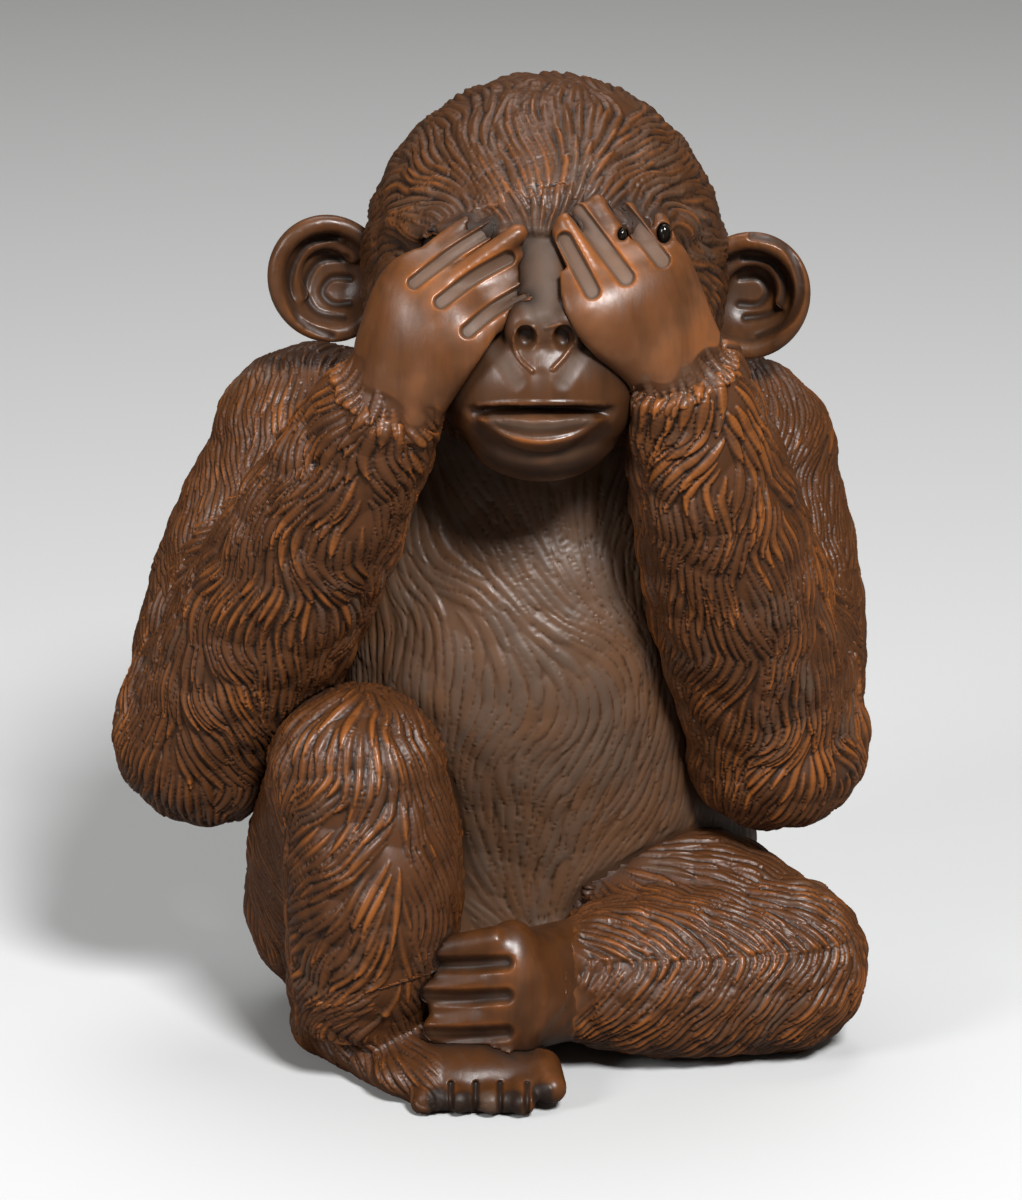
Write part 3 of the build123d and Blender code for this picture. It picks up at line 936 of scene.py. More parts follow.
@dataclass(frozen=True)
class FloorFinish:
    """Plain matte sweep: pale to the camera, and darker to the light that it throws back."""

    name: str
    pale: Triple
    thrown: Triple

    def material(self) -> bpy.types.Material:
        """Builds the material.

        Returns:
            The finish as a material.
        """
        shader = Shader(self.name)
        seen = Value(shader, shader.node("ShaderNodeLightPath", {}, {}).outputs["Is Camera Ray"])
        return shader.finish(shader.mix(seen, self.thrown, self.pale), 0.9, None, 0.0)


def mark(across: float, down: float) -> tuple[float, float]:
    """Turns a place in the photograph into one in the picture through the sight's target.

    Args:
        across: Pixels from the left edge.
        down: Pixels from the top edge.

    Returns:
        Millimetres to the right and up, to a hundredth.
    """
    right, up = across - PICTURE_MIDDLE[0], PICTURE_MIDDLE[1] - down
    return round(right * MM_PER_PIXEL, 2), round(up * MM_PER_PIXEL, 2)


def drawn(path: tuple[Pixel, ...], width: float, depth: float, **looks: float) -> Gouge:
    """Draws a cut over the photograph.

    Args:
        path: Places along its middle line, in pixels.
        width: Its width in millimetres.
        depth: Its depth in millimetres.
        looks: Its edge, grey and dark, where they aren't the usual ones.

    Returns:
        The cut.
    """
    return Gouge(tuple(mark(*place) for place in path), width, depth, **looks)


def nail(x: float, y: float) -> tuple[Pixel, ...]:
    """Goes round a toenail whose middle is given."""
    left, right, top, bottom = x - NAIL_HALF, x + NAIL_HALF, y - NAIL_HALF, y + NAIL_REACH
    return (left, top), (right, top), (right, bottom), (left, bottom), (left, top + NAIL_END)


def toe_gap(y: float) -> tuple[Pixel, ...]:
    """Runs along a gap between the left foot's toes, at a given height."""
    return (LEFT_TOE_TIP, y), (LEFT_TOE_MIDDLE, y + 1), (LEFT_TOE_ROOT, y - 1)


# Places of the cuts, read off the photograph, in pixels.
RIGHT_FINGER_GAPS = {
    ((414, 283), (454, 252), (493, 228)): 0.95,
    ((441, 302), (474, 277), (508, 258)): 1.05,
    ((468, 331), (493, 310), (525, 291)): 1.05,
}
LEFT_FINGER_GAPS = {
    ((592, 291), (580, 268), (565, 240)): 1.2,
    ((626, 277), (602, 245), (577, 212)): 1.3,
    ((662, 260), (640, 232), (615, 203)): 1.2,
}
RIGHT_HAND_CUTS, LEFT_HAND_CUTS = (
    tuple(drawn(path, width, 0.5, grey=0.75) for path, width in gaps.items())
    for gaps in (RIGHT_FINGER_GAPS, LEFT_FINGER_GAPS)
)

LEFT_TOE_GAPS = (964, 997, 1034)
LEFT_TOE_TIP, LEFT_TOE_MIDDLE, LEFT_TOE_ROOT = 422, 460, 506
LEFT_SOLE_LINE = ((420, 1066), (460, 1068), (510, 1066))
LEFT_FOOT_CUTS = (
    *(drawn(toe_gap(y), 0.95, 0.5, edge=0.7, dark=0.55) for y in LEFT_TOE_GAPS),
    drawn(LEFT_SOLE_LINE, 0.8, 0.4, edge=0.7, dark=0.6),
)

RIGHT_TOE_GAPS = (451, 476, 500, 527)
RIGHT_TOE_TOP, RIGHT_TOE_TIP = 1084, 1114
NAIL_HALF, NAIL_REACH, NAIL_END = 4, 7, 2
NAILS = ((438, 1099), (463, 1102), (513, 1101), (542, 1094))
WORN_NAIL = ((484, 1098), (491, 1098), (491, 1110), (484, 1110))
RIGHT_FOOT_CUTS = (
    *(drawn(((x, RIGHT_TOE_TOP), (x, RIGHT_TOE_TIP)), 0.4, 0.4, dark=0.75) for x in RIGHT_TOE_GAPS),
    *(drawn(nail(*middle), 1.0, -0.1, edge=0.4, dark=0.92) for middle in NAILS),
    drawn(WORN_NAIL, 1.0, -0.1, edge=0.4, grey=0.9),
)

UPPER_LIP = ((478, 406), (510, 404), (540, 404), (572, 404), (604, 405))
LOWER_LIP = ((482, 420), (505, 436), (540, 443), (577, 436), (600, 420))
UNDER_LIP_SHADOW = ((478, 430), (505, 447), (540, 454), (577, 447), (606, 430))
LIP_BACK = ((494, 419), (540, 426), (588, 419))
CHIN_SHADE = ((490, 470), (540, 482), (594, 470))
RIGHT_CHEEK = ((490, 345), (503, 362), (516, 382))
LEFT_CHEEK = ((588, 343), (576, 360), (563, 382))
UNDER_NOSE = ((540, 376), (540, 398))
RIGHT_NOSTRIL = ((534, 328), (521, 328), (513, 341), (519, 358), (532, 371))
LEFT_NOSTRIL = ((546, 328), (560, 326), (571, 336), (568, 352), (553, 369))
NOSE_BACK = ((538, 245), (540, 312))
BROW = ((503, 233), (532, 229), (562, 232))
FACE_CUTS = (
    drawn(UPPER_LIP, 0.45, -0.14),
    drawn(LOWER_LIP, 0.5, -0.2, edge=0.45),
    # A shallow real cut under the lower lip, with painted shadow in it.
    drawn(UNDER_LIP_SHADOW, 1.0, 0.25, edge=0.9, dark=0.5),
    drawn(LIP_BACK, 0.8, -0.2, edge=0.5, grey=0.8),
    # Painted shade under the chin: colour only, no cut.
    drawn(CHIN_SHADE, 3.4, 0.0, edge=3.0, dark=0.7),
    # The cheek folds: shallow real cuts with a painted pale highlight band along them.
    *(drawn(path, 1.0, 0.1, edge=0.9, grey=0.6) for path in (RIGHT_CHEEK, LEFT_CHEEK)),
    drawn(UNDER_NOSE, 0.9, 0.1, edge=0.8),
    *(drawn(path, 0.3, -0.14, edge=0.25) for path in (RIGHT_NOSTRIL, LEFT_NOSTRIL)),
    drawn(NOSE_BACK, 2.6, 0.0, edge=1.6, grey=0.8),
    drawn(BROW, 0.9, -0.22, edge=0.6),
)

EAR_MIRROR = 1090
EAR_FOLDS = {
    ((338, 236), (305, 246), (289, 284), (300, 320), (332, 336)): 0.22,
    ((346, 258), (318, 262), (305, 288), (316, 312), (344, 318)): 0.22,
    ((350, 278), (331, 278), (322, 292), (332, 304), (350, 304)): 0.2,
}


def ear_cuts(side: Side) -> tuple[Gouge, ...]:
    """Draws the folds of one ear.

    Args:
        side: Which ear it is; the left one mirrors the right.

    Returns:
        The cuts.
    """
    cuts = []
    for path, depth in EAR_FOLDS.items():
        if side is Side.LEFT:
            path = tuple((EAR_MIRROR - x, y) for x, y in path)
        cuts.append(drawn(path, 0.5, depth, edge=0.4, dark=0.6))
    return tuple(cuts)


SMALL_GLINT = (622, 235)
LARGE_GLINT = (664, 234)
EYE_FLOOR = -12.4
EYE_HOLES = (
    Punch(mark(*SMALL_GLINT), (0.8, 1.1), EYE_FLOOR),
    Punch(mark(*LARGE_GLINT), (1.1, 1.7), EYE_FLOOR),
)

CUT = (0.011, 0.0055, 0.003)
DUST = (0.098, 0.060, 0.040)
BARE_TONES = Tones(CUT, (0.125, 0.043, 0.012), (0.32, 0.096, 0.016), (0.135, 0.082, 0.054), 0.58, 0.42)
FACE_TONES = Tones(CUT, (0.088, 0.032, 0.010), (0.25, 0.078, 0.015), (0.092, 0.056, 0.037), 0.5, 0.42)
FOOT_TONES = Tones(CUT, (0.075, 0.025, 0.006), (0.20, 0.060, 0.011), (0.080, 0.046, 0.028), 0.5, 0.3)
LIMB_TONES = Tones(CUT, (0.085, 0.029, 0.008), (0.27, 0.084, 0.016), DUST, 0.44, 0.3)
BODY_TONES = Tones((0.028, 0.0135, 0.006), (0.118, 0.055, 0.026), (0.18, 0.078, 0.032), DUST, 0.16, 0.5)
HEAD_TONES = Tones(CUT, (0.080, 0.029, 0.009), (0.20, 0.066, 0.016), DUST, 0.36, 0.3)
LIMB_WOOD = CarvedFinish("limb_wood", LIMB_TONES, BARE_TONES)
BODY_WOOD = CarvedFinish("body_wood", BODY_TONES, BARE_TONES)
FOOT_WOOD = CarvedFinish("foot_wood", LIMB_TONES, FOOT_TONES)
HEAD_WOOD = CarvedFinish("head_wood", HEAD_TONES, FACE_TONES)
EYE_HORN = HornFinish("eye_horn", (0.006, 0.005, 0.004), (0.02, 0.014, 0.01))
DOWEL_WOOD = DowelFinish("dowel_wood", (0.55, 0.37, 0.18), (0.42, 0.26, 0.12))
FLOOR = FloorFinish("pale_floor", (0.68, 0.69, 0.69), (0.16, 0.15, 0.14))

Finish = CarvedFinish | HornFinish | DowelFinish | FloorFinish


class Palette:
    """Makes each finish's material once."""

    def __init__(self) -> None:
        """Starts empty."""
        self.made: dict[str, bpy.types.Material] = {}

    def material(self, finish: Finish) -> bpy.types.Material:
        """Gives a finish's material.

        Args:
            finish: The finish.

        Returns:
            Its material, made on first use.
        """
        if finish.name not in self.made:
            self.made[finish.name] = finish.material()
        return self.made[finish.name]


def faces_of(names: list[str]) -> BVHTree | None:
    """Gathers the faces of CAD nodes, in millimetres.

    Args:
        names: The nodes.

    Returns:
        The faces, sorted for searches, or nothing if there are none.
    """
    places: list[Triple] = []
    faces: list[tuple[int, ...]] = []
    for name in names:
        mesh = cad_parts[name].data
        surface = Surface(mesh)
        faces.extend(map(tuple, (surface.triangles + len(places)).tolist()))
        places.extend(map(tuple, (surface.points * PER_METRE).tolist()))
    return BVHTree.FromPolygons(places, faces, all_triangles=True) if faces else None


@dataclass
class Block:
    """One carved block, cut finer from its CAD node.

    Attributes:
        name: The piece's name.
        node: The CAD node that it stands for, or for a part of it.
        grid: Spacing of the points where the surface is hidden; it is halved where the surface shows.
        comb: Says how its fur lies.
        finish: The finish on it.
        slot: The record's slot for it; not used.
        joined: Nodes whose shapes it runs on into, so that no joint shows.
        fur_node: The node among these whose fur runs out over the rest.
        seed: Start of its random choices.
        rounding: How strongly edges are rounded.
        filling: How strongly creases are filled.
        trims: A point and an outward direction for each cut that ends the piece.
        gouges: Single cuts from the front.
        punches: Holes from the front.
        finer: Picks points round which the spacing is halved once more.
        others: Faces of all other nodes, set when the piece is built.
    """

    name: str
    node: str
    grid: float
    comb: Callable[[Surface, Nearness], Coat]
    finish: CarvedFinish
    slot: Slot
    joined: tuple[str, ...] = ()
    fur_node: str = ""
    seed: int = 1
    rounding: int = 6
    filling: int = 0
    trims: tuple[Trim, ...] = ()
    gouges: tuple[Gouge, ...] = ()
    punches: tuple[Punch, ...] = ()
    finer: Callable[[Surface], Array] | None = None
    others: BVHTree | None = field(default=None, init=False)

    def apply(self, piece: bpy.types.Object, kind: str, settings: dict) -> None:
        """Runs one modifier and keeps its result.

        Args:
            piece: The piece.
            kind: The modifier's type.
            settings: Its properties.
        """
        step = piece.modifiers.new("step", kind)
        for name, setting in settings.items():
            setattr(step, name, setting)
        old = piece.data
        ready = piece.evaluated_get(bpy.context.evaluated_depsgraph_get())
        piece.data = bpy.data.meshes.new_from_object(ready)
        piece.modifiers.clear()
        bpy.data.meshes.remove(old)

    def cut_off(self, piece: bpy.types.Object) -> None:
        """Ends the piece at its trims and makes its holes.

        Args:
            piece: The piece.
        """
        form = bmesh.new()
        form.from_mesh(piece.data)
        for point, outward in self.trims:
            whole = [*form.verts, *form.edges, *form.faces]
            cut = bmesh.ops.bisect_plane(form, geom=whole, plane_co=point, plane_no=outward, clear_outer=True)
            rim = [item for item in cut["geom_cut"] if isinstance(item, bmesh.types.BMEdge)]
            bmesh.ops.holes_fill(form, edges=rim, sides=0)
        form.to_mesh(piece.data)
        form.free()
        for punch in self.punches:
            tool = punch.tool()
            self.apply(piece, "BOOLEAN", {"operation": "DIFFERENCE", "solver": "EXACT", "object": tool})
            bpy.data.meshes.remove(tool.data)

    def rough_out(self) -> bpy.types.Object:
        """Copies the node's shape and covers it with an even net of points.

        Returns:
            The piece, in millimetres for now.
        """
        piece = shaped(self.name, node_form(self.node, *self.joined))
        net = {"mode": "VOXEL", "voxel_size": self.grid}
        self.apply(piece, "REMESH", net)
        if self.trims or self.punches:
            self.cut_off(piece)
            self.apply(piece, "REMESH", net)
        piece.data.name = self.name
        return piece

    def sunk(self, points: Array) -> Array:
        """Lets the ends of the piece dip under the piece that they run into.

        Args:
            points: The surface's points.

        Returns:
            How deep each point is sunk.
        """
        deep = np.zeros(len(points))
        for point, outward in self.trims:
            inward = (np.array(point) - points) @ np.array(outward) + 0.3 * ripple(points, 1.8, self.seed)
            deep = np.maximum(deep, 0.6 * ease(inward, 0.9, 0.3))
        return deep

    def refine(self, piece: bpy.types.Object, chosen: Array) -> None:
        """Halves the net's spacing round chosen points.

        Args:
            piece: The piece.
            chosen: True at each chosen point.
        """
        form = bmesh.new()
        form.from_mesh(piece.data)
        touched = [face for face in form.faces if any(chosen[v.index] for v in face.verts)]
        edges = {edge for face in touched for edge in face.edges}
        bmesh.ops.subdivide_edges(form, edges=list(edges), cuts=1, use_grid_fill=True)
        form.to_mesh(piece.data)
        form.free()

    def prepare(self, piece: bpy.types.Object) -> Surface:
        """Rounds the shape and makes the net fine enough for the strands.

        Args:
            piece: The piece.

        Returns:
            Its surface.
        """
        surface = Surface(piece.data)
        gap = surface.gap_to(self.others)
        surface.fill(self.filling, ease(gap, 0.2, 1.5))
        surface.soften(self.rounding, ease(gap, 0.05, 0.9))
        piece.data.vertices.foreach_set("co", surface.points.ravel())
        self.refine(piece, (gap > 0.12) & (surface.points[:, 2] > 0.05))
        surface = Surface(piece.data)
        if self.finer is not None:
            self.refine(piece, self.finer(surface))
            surface = Surface(piece.data)
        return surface

    def gouge(self, surface: Surface) -> tuple[Array, Array]:
        """Makes the single cuts from the front.

        Args:
            surface: The surface to shape.

        Returns:
            How grey and how dark each point gets.
        """
        seen = SIGHT.seen(surface.points)
        ahead = ease(surface.normals @ SIGHT.back(), 0.0, 0.4)
        grey, dark, sink = (np.zeros(len(seen)) for _ in range(3))
        for cut in self.gouges:
            share = cut.share(seen) * ahead
            sink = sink + cut.depth * share
            grey = np.maximum(grey, cut.grey * share)
            dark = np.maximum(dark, cut.dark * share)
        surface.points = surface.points - column(sink) * SIGHT.back()
        surface.normals = surface.facing()
        return grey, dark

    def carve(self, surface: Surface) -> dict[str, Array]:
        """Cuts the fur.

        Args:
            surface: The surface to shape.

        Returns:
            The numbers that the finish reads, by name.
        """
        fur = faces_of([self.fur_node] if self.fur_node else [])
        near = Nearness(surface.gap_to(self.others), surface.gap_to(fur))
        surface.soften(4, ease(near.contact, 0.05, 0.6))
        grey, dark = self.gouge(surface)
        coat = self.comb(surface, near)
        coat.depth = coat.depth * ease(near.contact, 0.02, 0.4)
        carver = Carver(surface, coat, self.seed)
        carver.cut()
        height = 0.6 * carver.height + 0.4 * surface.around(carver.height)
        swell = surface.blurred(carver.swell, 2) - LOCK_LEVEL
        rise = coat.depth * (height - STRAND_LEVEL + LOCK_SWELL * swell) - self.sunk(surface.points)
        surface.points = surface.points + surface.normals * column(rise)
        surface.normals = surface.facing()
        furred = ease(surface.blurred(coat.depth, 4), 0.03, 0.12)
        # On bare wood the wide scale weighs most, so wide hollows such as the insides of the ears go towards
        # the cut colour: stain in the hollows, together with painted shade.
        fine, broad = surface.crests(6, 0.07), surface.crests(60, 0.28)
        crest = np.where(furred > 0.5, 0.75 * fine + 0.25 * broad, 0.3 * fine + 0.7 * broad)
        # Painted shade in the creases between blocks, strongest where they touch; it joins the 'dark' number.
        crevice = CREVICE_PAINTED_SHADE * np.exp(-near.contact / CREVICE_REACH)
        return {
            "crest": surface.blurred(crest, 1),
            "tint": surface.blurred(carver.tint, 1),
            "furred": furred,
            "grey": surface.blurred(grey, 2),
            "dark": surface.blurred(np.maximum(dark, crevice), 3),
        }

    def build(self, palette: Palette) -> bpy.types.Object:
        """Makes the piece and puts it in the frame.

        Args:
            palette: Where materials come from.

        Returns:
            The finished piece.
        """
        self.others = faces_of([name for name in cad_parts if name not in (self.node, *self.joined)])
        piece = self.rough_out()
        surface = self.prepare(piece)
        # Stain, wear and tint numbers, together with painted shade and a painted highlight, for the finish to
        # read.
        stains_and_painted_light = self.carve(surface)
        piece.data.vertices.foreach_set("co", (surface.points / PER_METRE).ravel())
        piece.data.shade_smooth()
        for name, values in stains_and_painted_light.items():
            layer = piece.data.attributes.new(name, "FLOAT", "POINT")
            layer.data.foreach_set("value", values.astype(np.float32))
        piece.data.update()
        piece.data.materials.clear()
        piece.data.materials.append(palette.material(self.finish))
        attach(piece, "root")
        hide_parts(self.node)
        log.info("%s: %d triangles", piece.name, len(surface.triangles))
        return piece


def bare(surface: Surface, near: Nearness) -> Coat:
    """A coat without fur.

    Args:
        surface: The surface.
        near: Distances to other blocks.

    Returns:
        The coat.
    """
    none = np.zeros(len(surface.points))
    return Coat(everywhere((0.0, 0.0, -1.0), none), none + 1.0, none + 3.0, none)


@dataclass
class Body:
    """The body: shallow flat strands with wavy cuts in front, and rounder strands down the back.

    Attributes:
        middle: The body's middle along X, in millimetres.
        whorl: Middle of the whorl on the chest.
        whorl_size: Its radius.
        chest_half: Half the width of the chest and belly.
        chest_from: Height at which the belly starts.
    """

    middle: float = 2.6
    whorl: Triple = (-2.0, -5.0, 36.0)
    whorl_size: float = 4.2
    chest_half: float = 15.0
    chest_from: float = 8.0

    def comb(self, surface: Surface, near: Nearness) -> Coat:
        """Says how the fur lies.

        Args:
            surface: The surface before it is cut.
            near: Distances to other blocks.

        Returns:
            The coat.
        """
        points = surface.points
        x, z = points[:, 0] - self.middle, points[:, 2]
        front = ease(-surface.normals[:, 1], -0.15, 0.35)
        wave = 0.5 * np.sin(z / 5.2 + 0.22 * x) - 0.03 * x
        none = np.zeros(len(x))
        ahead = np.stack((wave, none, none - 1.0), axis=1)
        behind = np.stack((0.05 * x, none, none - 1.0), axis=1)
        distance = np.linalg.norm(points - np.array(self.whorl), axis=1)
        turn = 1.9 * np.exp(-((distance / self.whorl_size) ** 2)) + 0.3 * ripple(points, 11.0, 2)
        return Coat(
            flow=surface.turned(blend(front, behind, ahead), turn),
            width=1.15 - 0.3 * front,
            length=5.5 + 0.5 * front,
            depth=0.42 - 0.16 * front,
            squareness=3.5,
            lock=4.2,
            stray=0.16,
        )

    def front(self, surface: Surface) -> Array:
        """Picks the points of the chest and belly."""
        points = surface.points
        central = np.abs(points[:, 0] - self.middle) < self.chest_half
        return (surface.normals[:, 1] < -0.1) & central & (points[:, 2] > self.chest_from)

    def build(self, palette: Palette) -> None:
        """Makes the body.

        Args:
            palette: Where materials come from.
        """
        Block(
            "torso_carved", "torso", 0.6, self.comb, BODY_WOOD, Slot.FUR, seed=3, finer=self.front
        ).build(palette)


@dataclass
class Head:
    """Head, face and ears: fine strands sweep away from the bare face over the crown, and down to the nape.

    Attributes:
        source: Point in front of the face from which the hair sweeps, in millimetres.
        skull: Middle of the skull.
        hairline: How far the hair runs on to the face.
        split: Where the face is parted from the head, along Y.
        overlap: How far the two run into each other.
    """

    source: Triple = (4.0, -19.0, 61.0)
    skull: Triple = (4.0, -1.3, 60.2)
    hairline: float = 1.3
    split: float = -13.2
    overlap: float = 0.9

    def lie(self, surface: Surface) -> Array:
        """Says which way the hair lies.

        Args:
            surface: The surface.

        Returns:
            One direction a point.
        """
        points = surface.points
        away = unit(points - np.array(self.source))
        offset = points - np.array(self.skull)
        fall = ease(offset[:, 1], -6.0, 8.0) + 0.5 * ease(np.abs(offset[:, 0]), 6.0, 13.0)
        flow = unit(away + column(fall) * np.array((0.0, 0.2, -0.9)))
        return surface.turned(flow, 0.4 * ripple(points, 9.0, 4))

    def comb(self, surface: Surface, near: Nearness) -> Coat:
        """Says how the hair lies on the head, and where it ends on the face.

        Args:
            surface: The surface before it is cut.
            near: Distances to other blocks.

        Returns:
            The coat.
        """
        edge = ease(near.seam + 0.5 * ripple(surface.points, 2.5, 6), self.hairline, 0.3)
        high = np.maximum(ease(surface.points[:, 2], 52.0, 56.0), ease(near.seam, 0.3, 0.1))
        far = np.linalg.norm(surface.points - np.array(self.source), axis=1)
        return Coat(
            flow=self.lie(surface),
            width=0.6 * np.ones(len(edge)),
            length=2.6 + 2.2 * edge,
            depth=0.4 * edge * high,
            lock=3.0,
            stray=0.2,
            start=-far,
        )

    def build(self, palette: Palette) -> None:
        """Makes the head, the face and the ears.

        Args:
            palette: Where materials come from.
        """
        front, back = parted((0.0, self.split, 0.0), (0.0, 1.0, 0.0), self.overlap)
        Block(
            "head_carved", "head", 0.31, self.comb, HEAD_WOOD, Slot.FUR, ("face",), "head", 5,
            trims=(back,), punches=EYE_HOLES,
        ).build(palette)
        Block(
            "face_carved", "face", 0.2, self.comb, HEAD_WOOD, Slot.BARE, ("head",), "head", 6, 5, filling=6,
            trims=(front,), gouges=FACE_CUTS, punches=EYE_HOLES,
        ).build(palette)
        for side in Side:
            ear = f"{side.name.lower()}_ear"
            Block(
                f"{ear}_carved", ear, 0.2, bare, HEAD_WOOD, Slot.BARE, rounding=3, gouges=ear_cuts(side)
            ).build(palette)


@dataclass
class Arm:
    """A bent arm and its hand: locks fall from a parting along the forearm, with finer fur above the elbow.

    Attributes:
        side: Which arm it is.
        shoulder: Middle of the shoulder, in millimetres.
        elbow: Middle of the elbow.
        wrist: Middle of the wrist.
        slant: How far the strands lean outward on the parting, for each step down.
        sweep: How far they lean inward on the inner side.
        overlap: How far the two parts of the arm run into each other at the elbow.
        cuff: How far the fur runs on to the hand.
        gouges: Single cuts that part the fingers.
        punches: Holes through which the eye shows.
    """

    side: Side
    shoulder: Triple
    elbow: Triple
    wrist: Triple
    slant: float
    sweep: float
    overlap: float = 1.2
    cuff: float = 2.2
    gouges: tuple[Gouge, ...] = ()
    punches: tuple[Punch, ...] = ()

    def lie_fore(self, surface: Surface) -> Array:
        """Says which way the fur lies on the forearm.

        Args:
            surface: The surface.

        Returns:
            One direction a point.
        """
        points = surface.points
        fore, offset, _ = along_limb(points, self.wrist, self.elbow)
        out = self.side.value
        parting = np.array((0.8 * out, -0.2, 0.6))
        parting = unit(parting - fore * (parting @ fore))
        front = np.cross(fore, parting)
        front = front * -np.sign(front[1])
        angle = np.arctan2(offset @ front, offset @ parting)
        ridge, inner, behind = (
            everywhere(way, points)
            for way in ((self.slant * out, 0.0, -1.0), (-self.sweep * out, 0.0, -1.0), (0.5 * out, 0.8, -0.8))
        )
        flow = blend(ease(angle, 0.2, 2.3), ridge, inner)
        flow = blend(ease(-angle, 0.0, 1.2) * ease(-angle, 3.2, 2.4), flow, behind)
        return surface.turned(flow, 0.22 * ripple(points, 8.0, 8))

    def comb_fore(self, surface: Surface, near: Nearness) -> Coat:
        """Says how the fur lies on the forearm.

        Args:
            surface: The surface before it is cut.
            near: Distances to other blocks.

        Returns:
            The coat.
        """
        to_wrist = np.exp(-np.linalg.norm(surface.points - np.array(self.wrist), axis=1) / 7.0)
        edge = ease(near.seam + 0.7 * ripple(surface.points, 3.0, 12), self.cuff, 0.4)
        return Coat(
            flow=self.lie_fore(surface),
            width=0.64 + 0.45 * to_wrist,
            length=5.0 - 2.2 * to_wrist,
            depth=(0.56 + 0.16 * to_wrist) * edge,
            lock=3.8,
            stray=0.3,
        )

    def comb_upper(self, surface: Surface, near: Nearness) -> Coat:
        """Says how the fur lies on the upper arm.

        Args:
            surface: The surface before it is cut.
            near: Distances to other blocks.

        Returns:
            The coat.
        """
        points = surface.points
        upper, _, _ = along_limb(points, self.shoulder, self.elbow)
        flow = everywhere(upper + np.array((0.0, -0.8, 0.0)), points)
        same = np.ones(len(points))
        return Coat(
            flow=surface.turned(flow, 0.3 * ripple(points, 9.0, 10)),
            width=0.56 * same,
            length=3.8 * same,
            depth=0.36 * same,
            lock=3.4,
            stray=0.16,
        )

    def build(self, palette: Palette) -> None:
        """Makes the arm in two overlapping parts, and the hand.

        Args:
            palette: Where materials come from.
        """
        name = self.side.name.lower()
        shoulder, elbow, wrist = (np.array(joint) for joint in (self.shoulder, self.elbow, self.wrist))
        across = unit(unit(shoulder - elbow) - unit(wrist - elbow))
        onward = unit(wrist - elbow)
        fore, upper = parted(elbow, across, self.overlap)
        above, below = parted(wrist, onward, self.overlap)
        seed = 11 if self.side is Side.RIGHT else 31
        arm, hand = f"{name}_arm", f"{name}_hand"
        Block(
            f"{name}_upper_arm", arm, 0.23, self.comb_upper, LIMB_WOOD, Slot.FUR, seed=seed, rounding=10,
            trims=(upper,),
        ).build(palette)
        Block(
            f"{name}_forearm", arm, 0.22, self.comb_fore, LIMB_WOOD, Slot.FUR, (hand,), arm, seed + 1, 10,
            trims=(fore, above),
        ).build(palette)
        Block(
            f"{hand}_carved", hand, 0.18, self.comb_fore, LIMB_WOOD, Slot.BARE, (arm,), arm, seed + 2,
            filling=24, trims=(below,), gouges=self.gouges, punches=self.punches,
        ).build(palette)


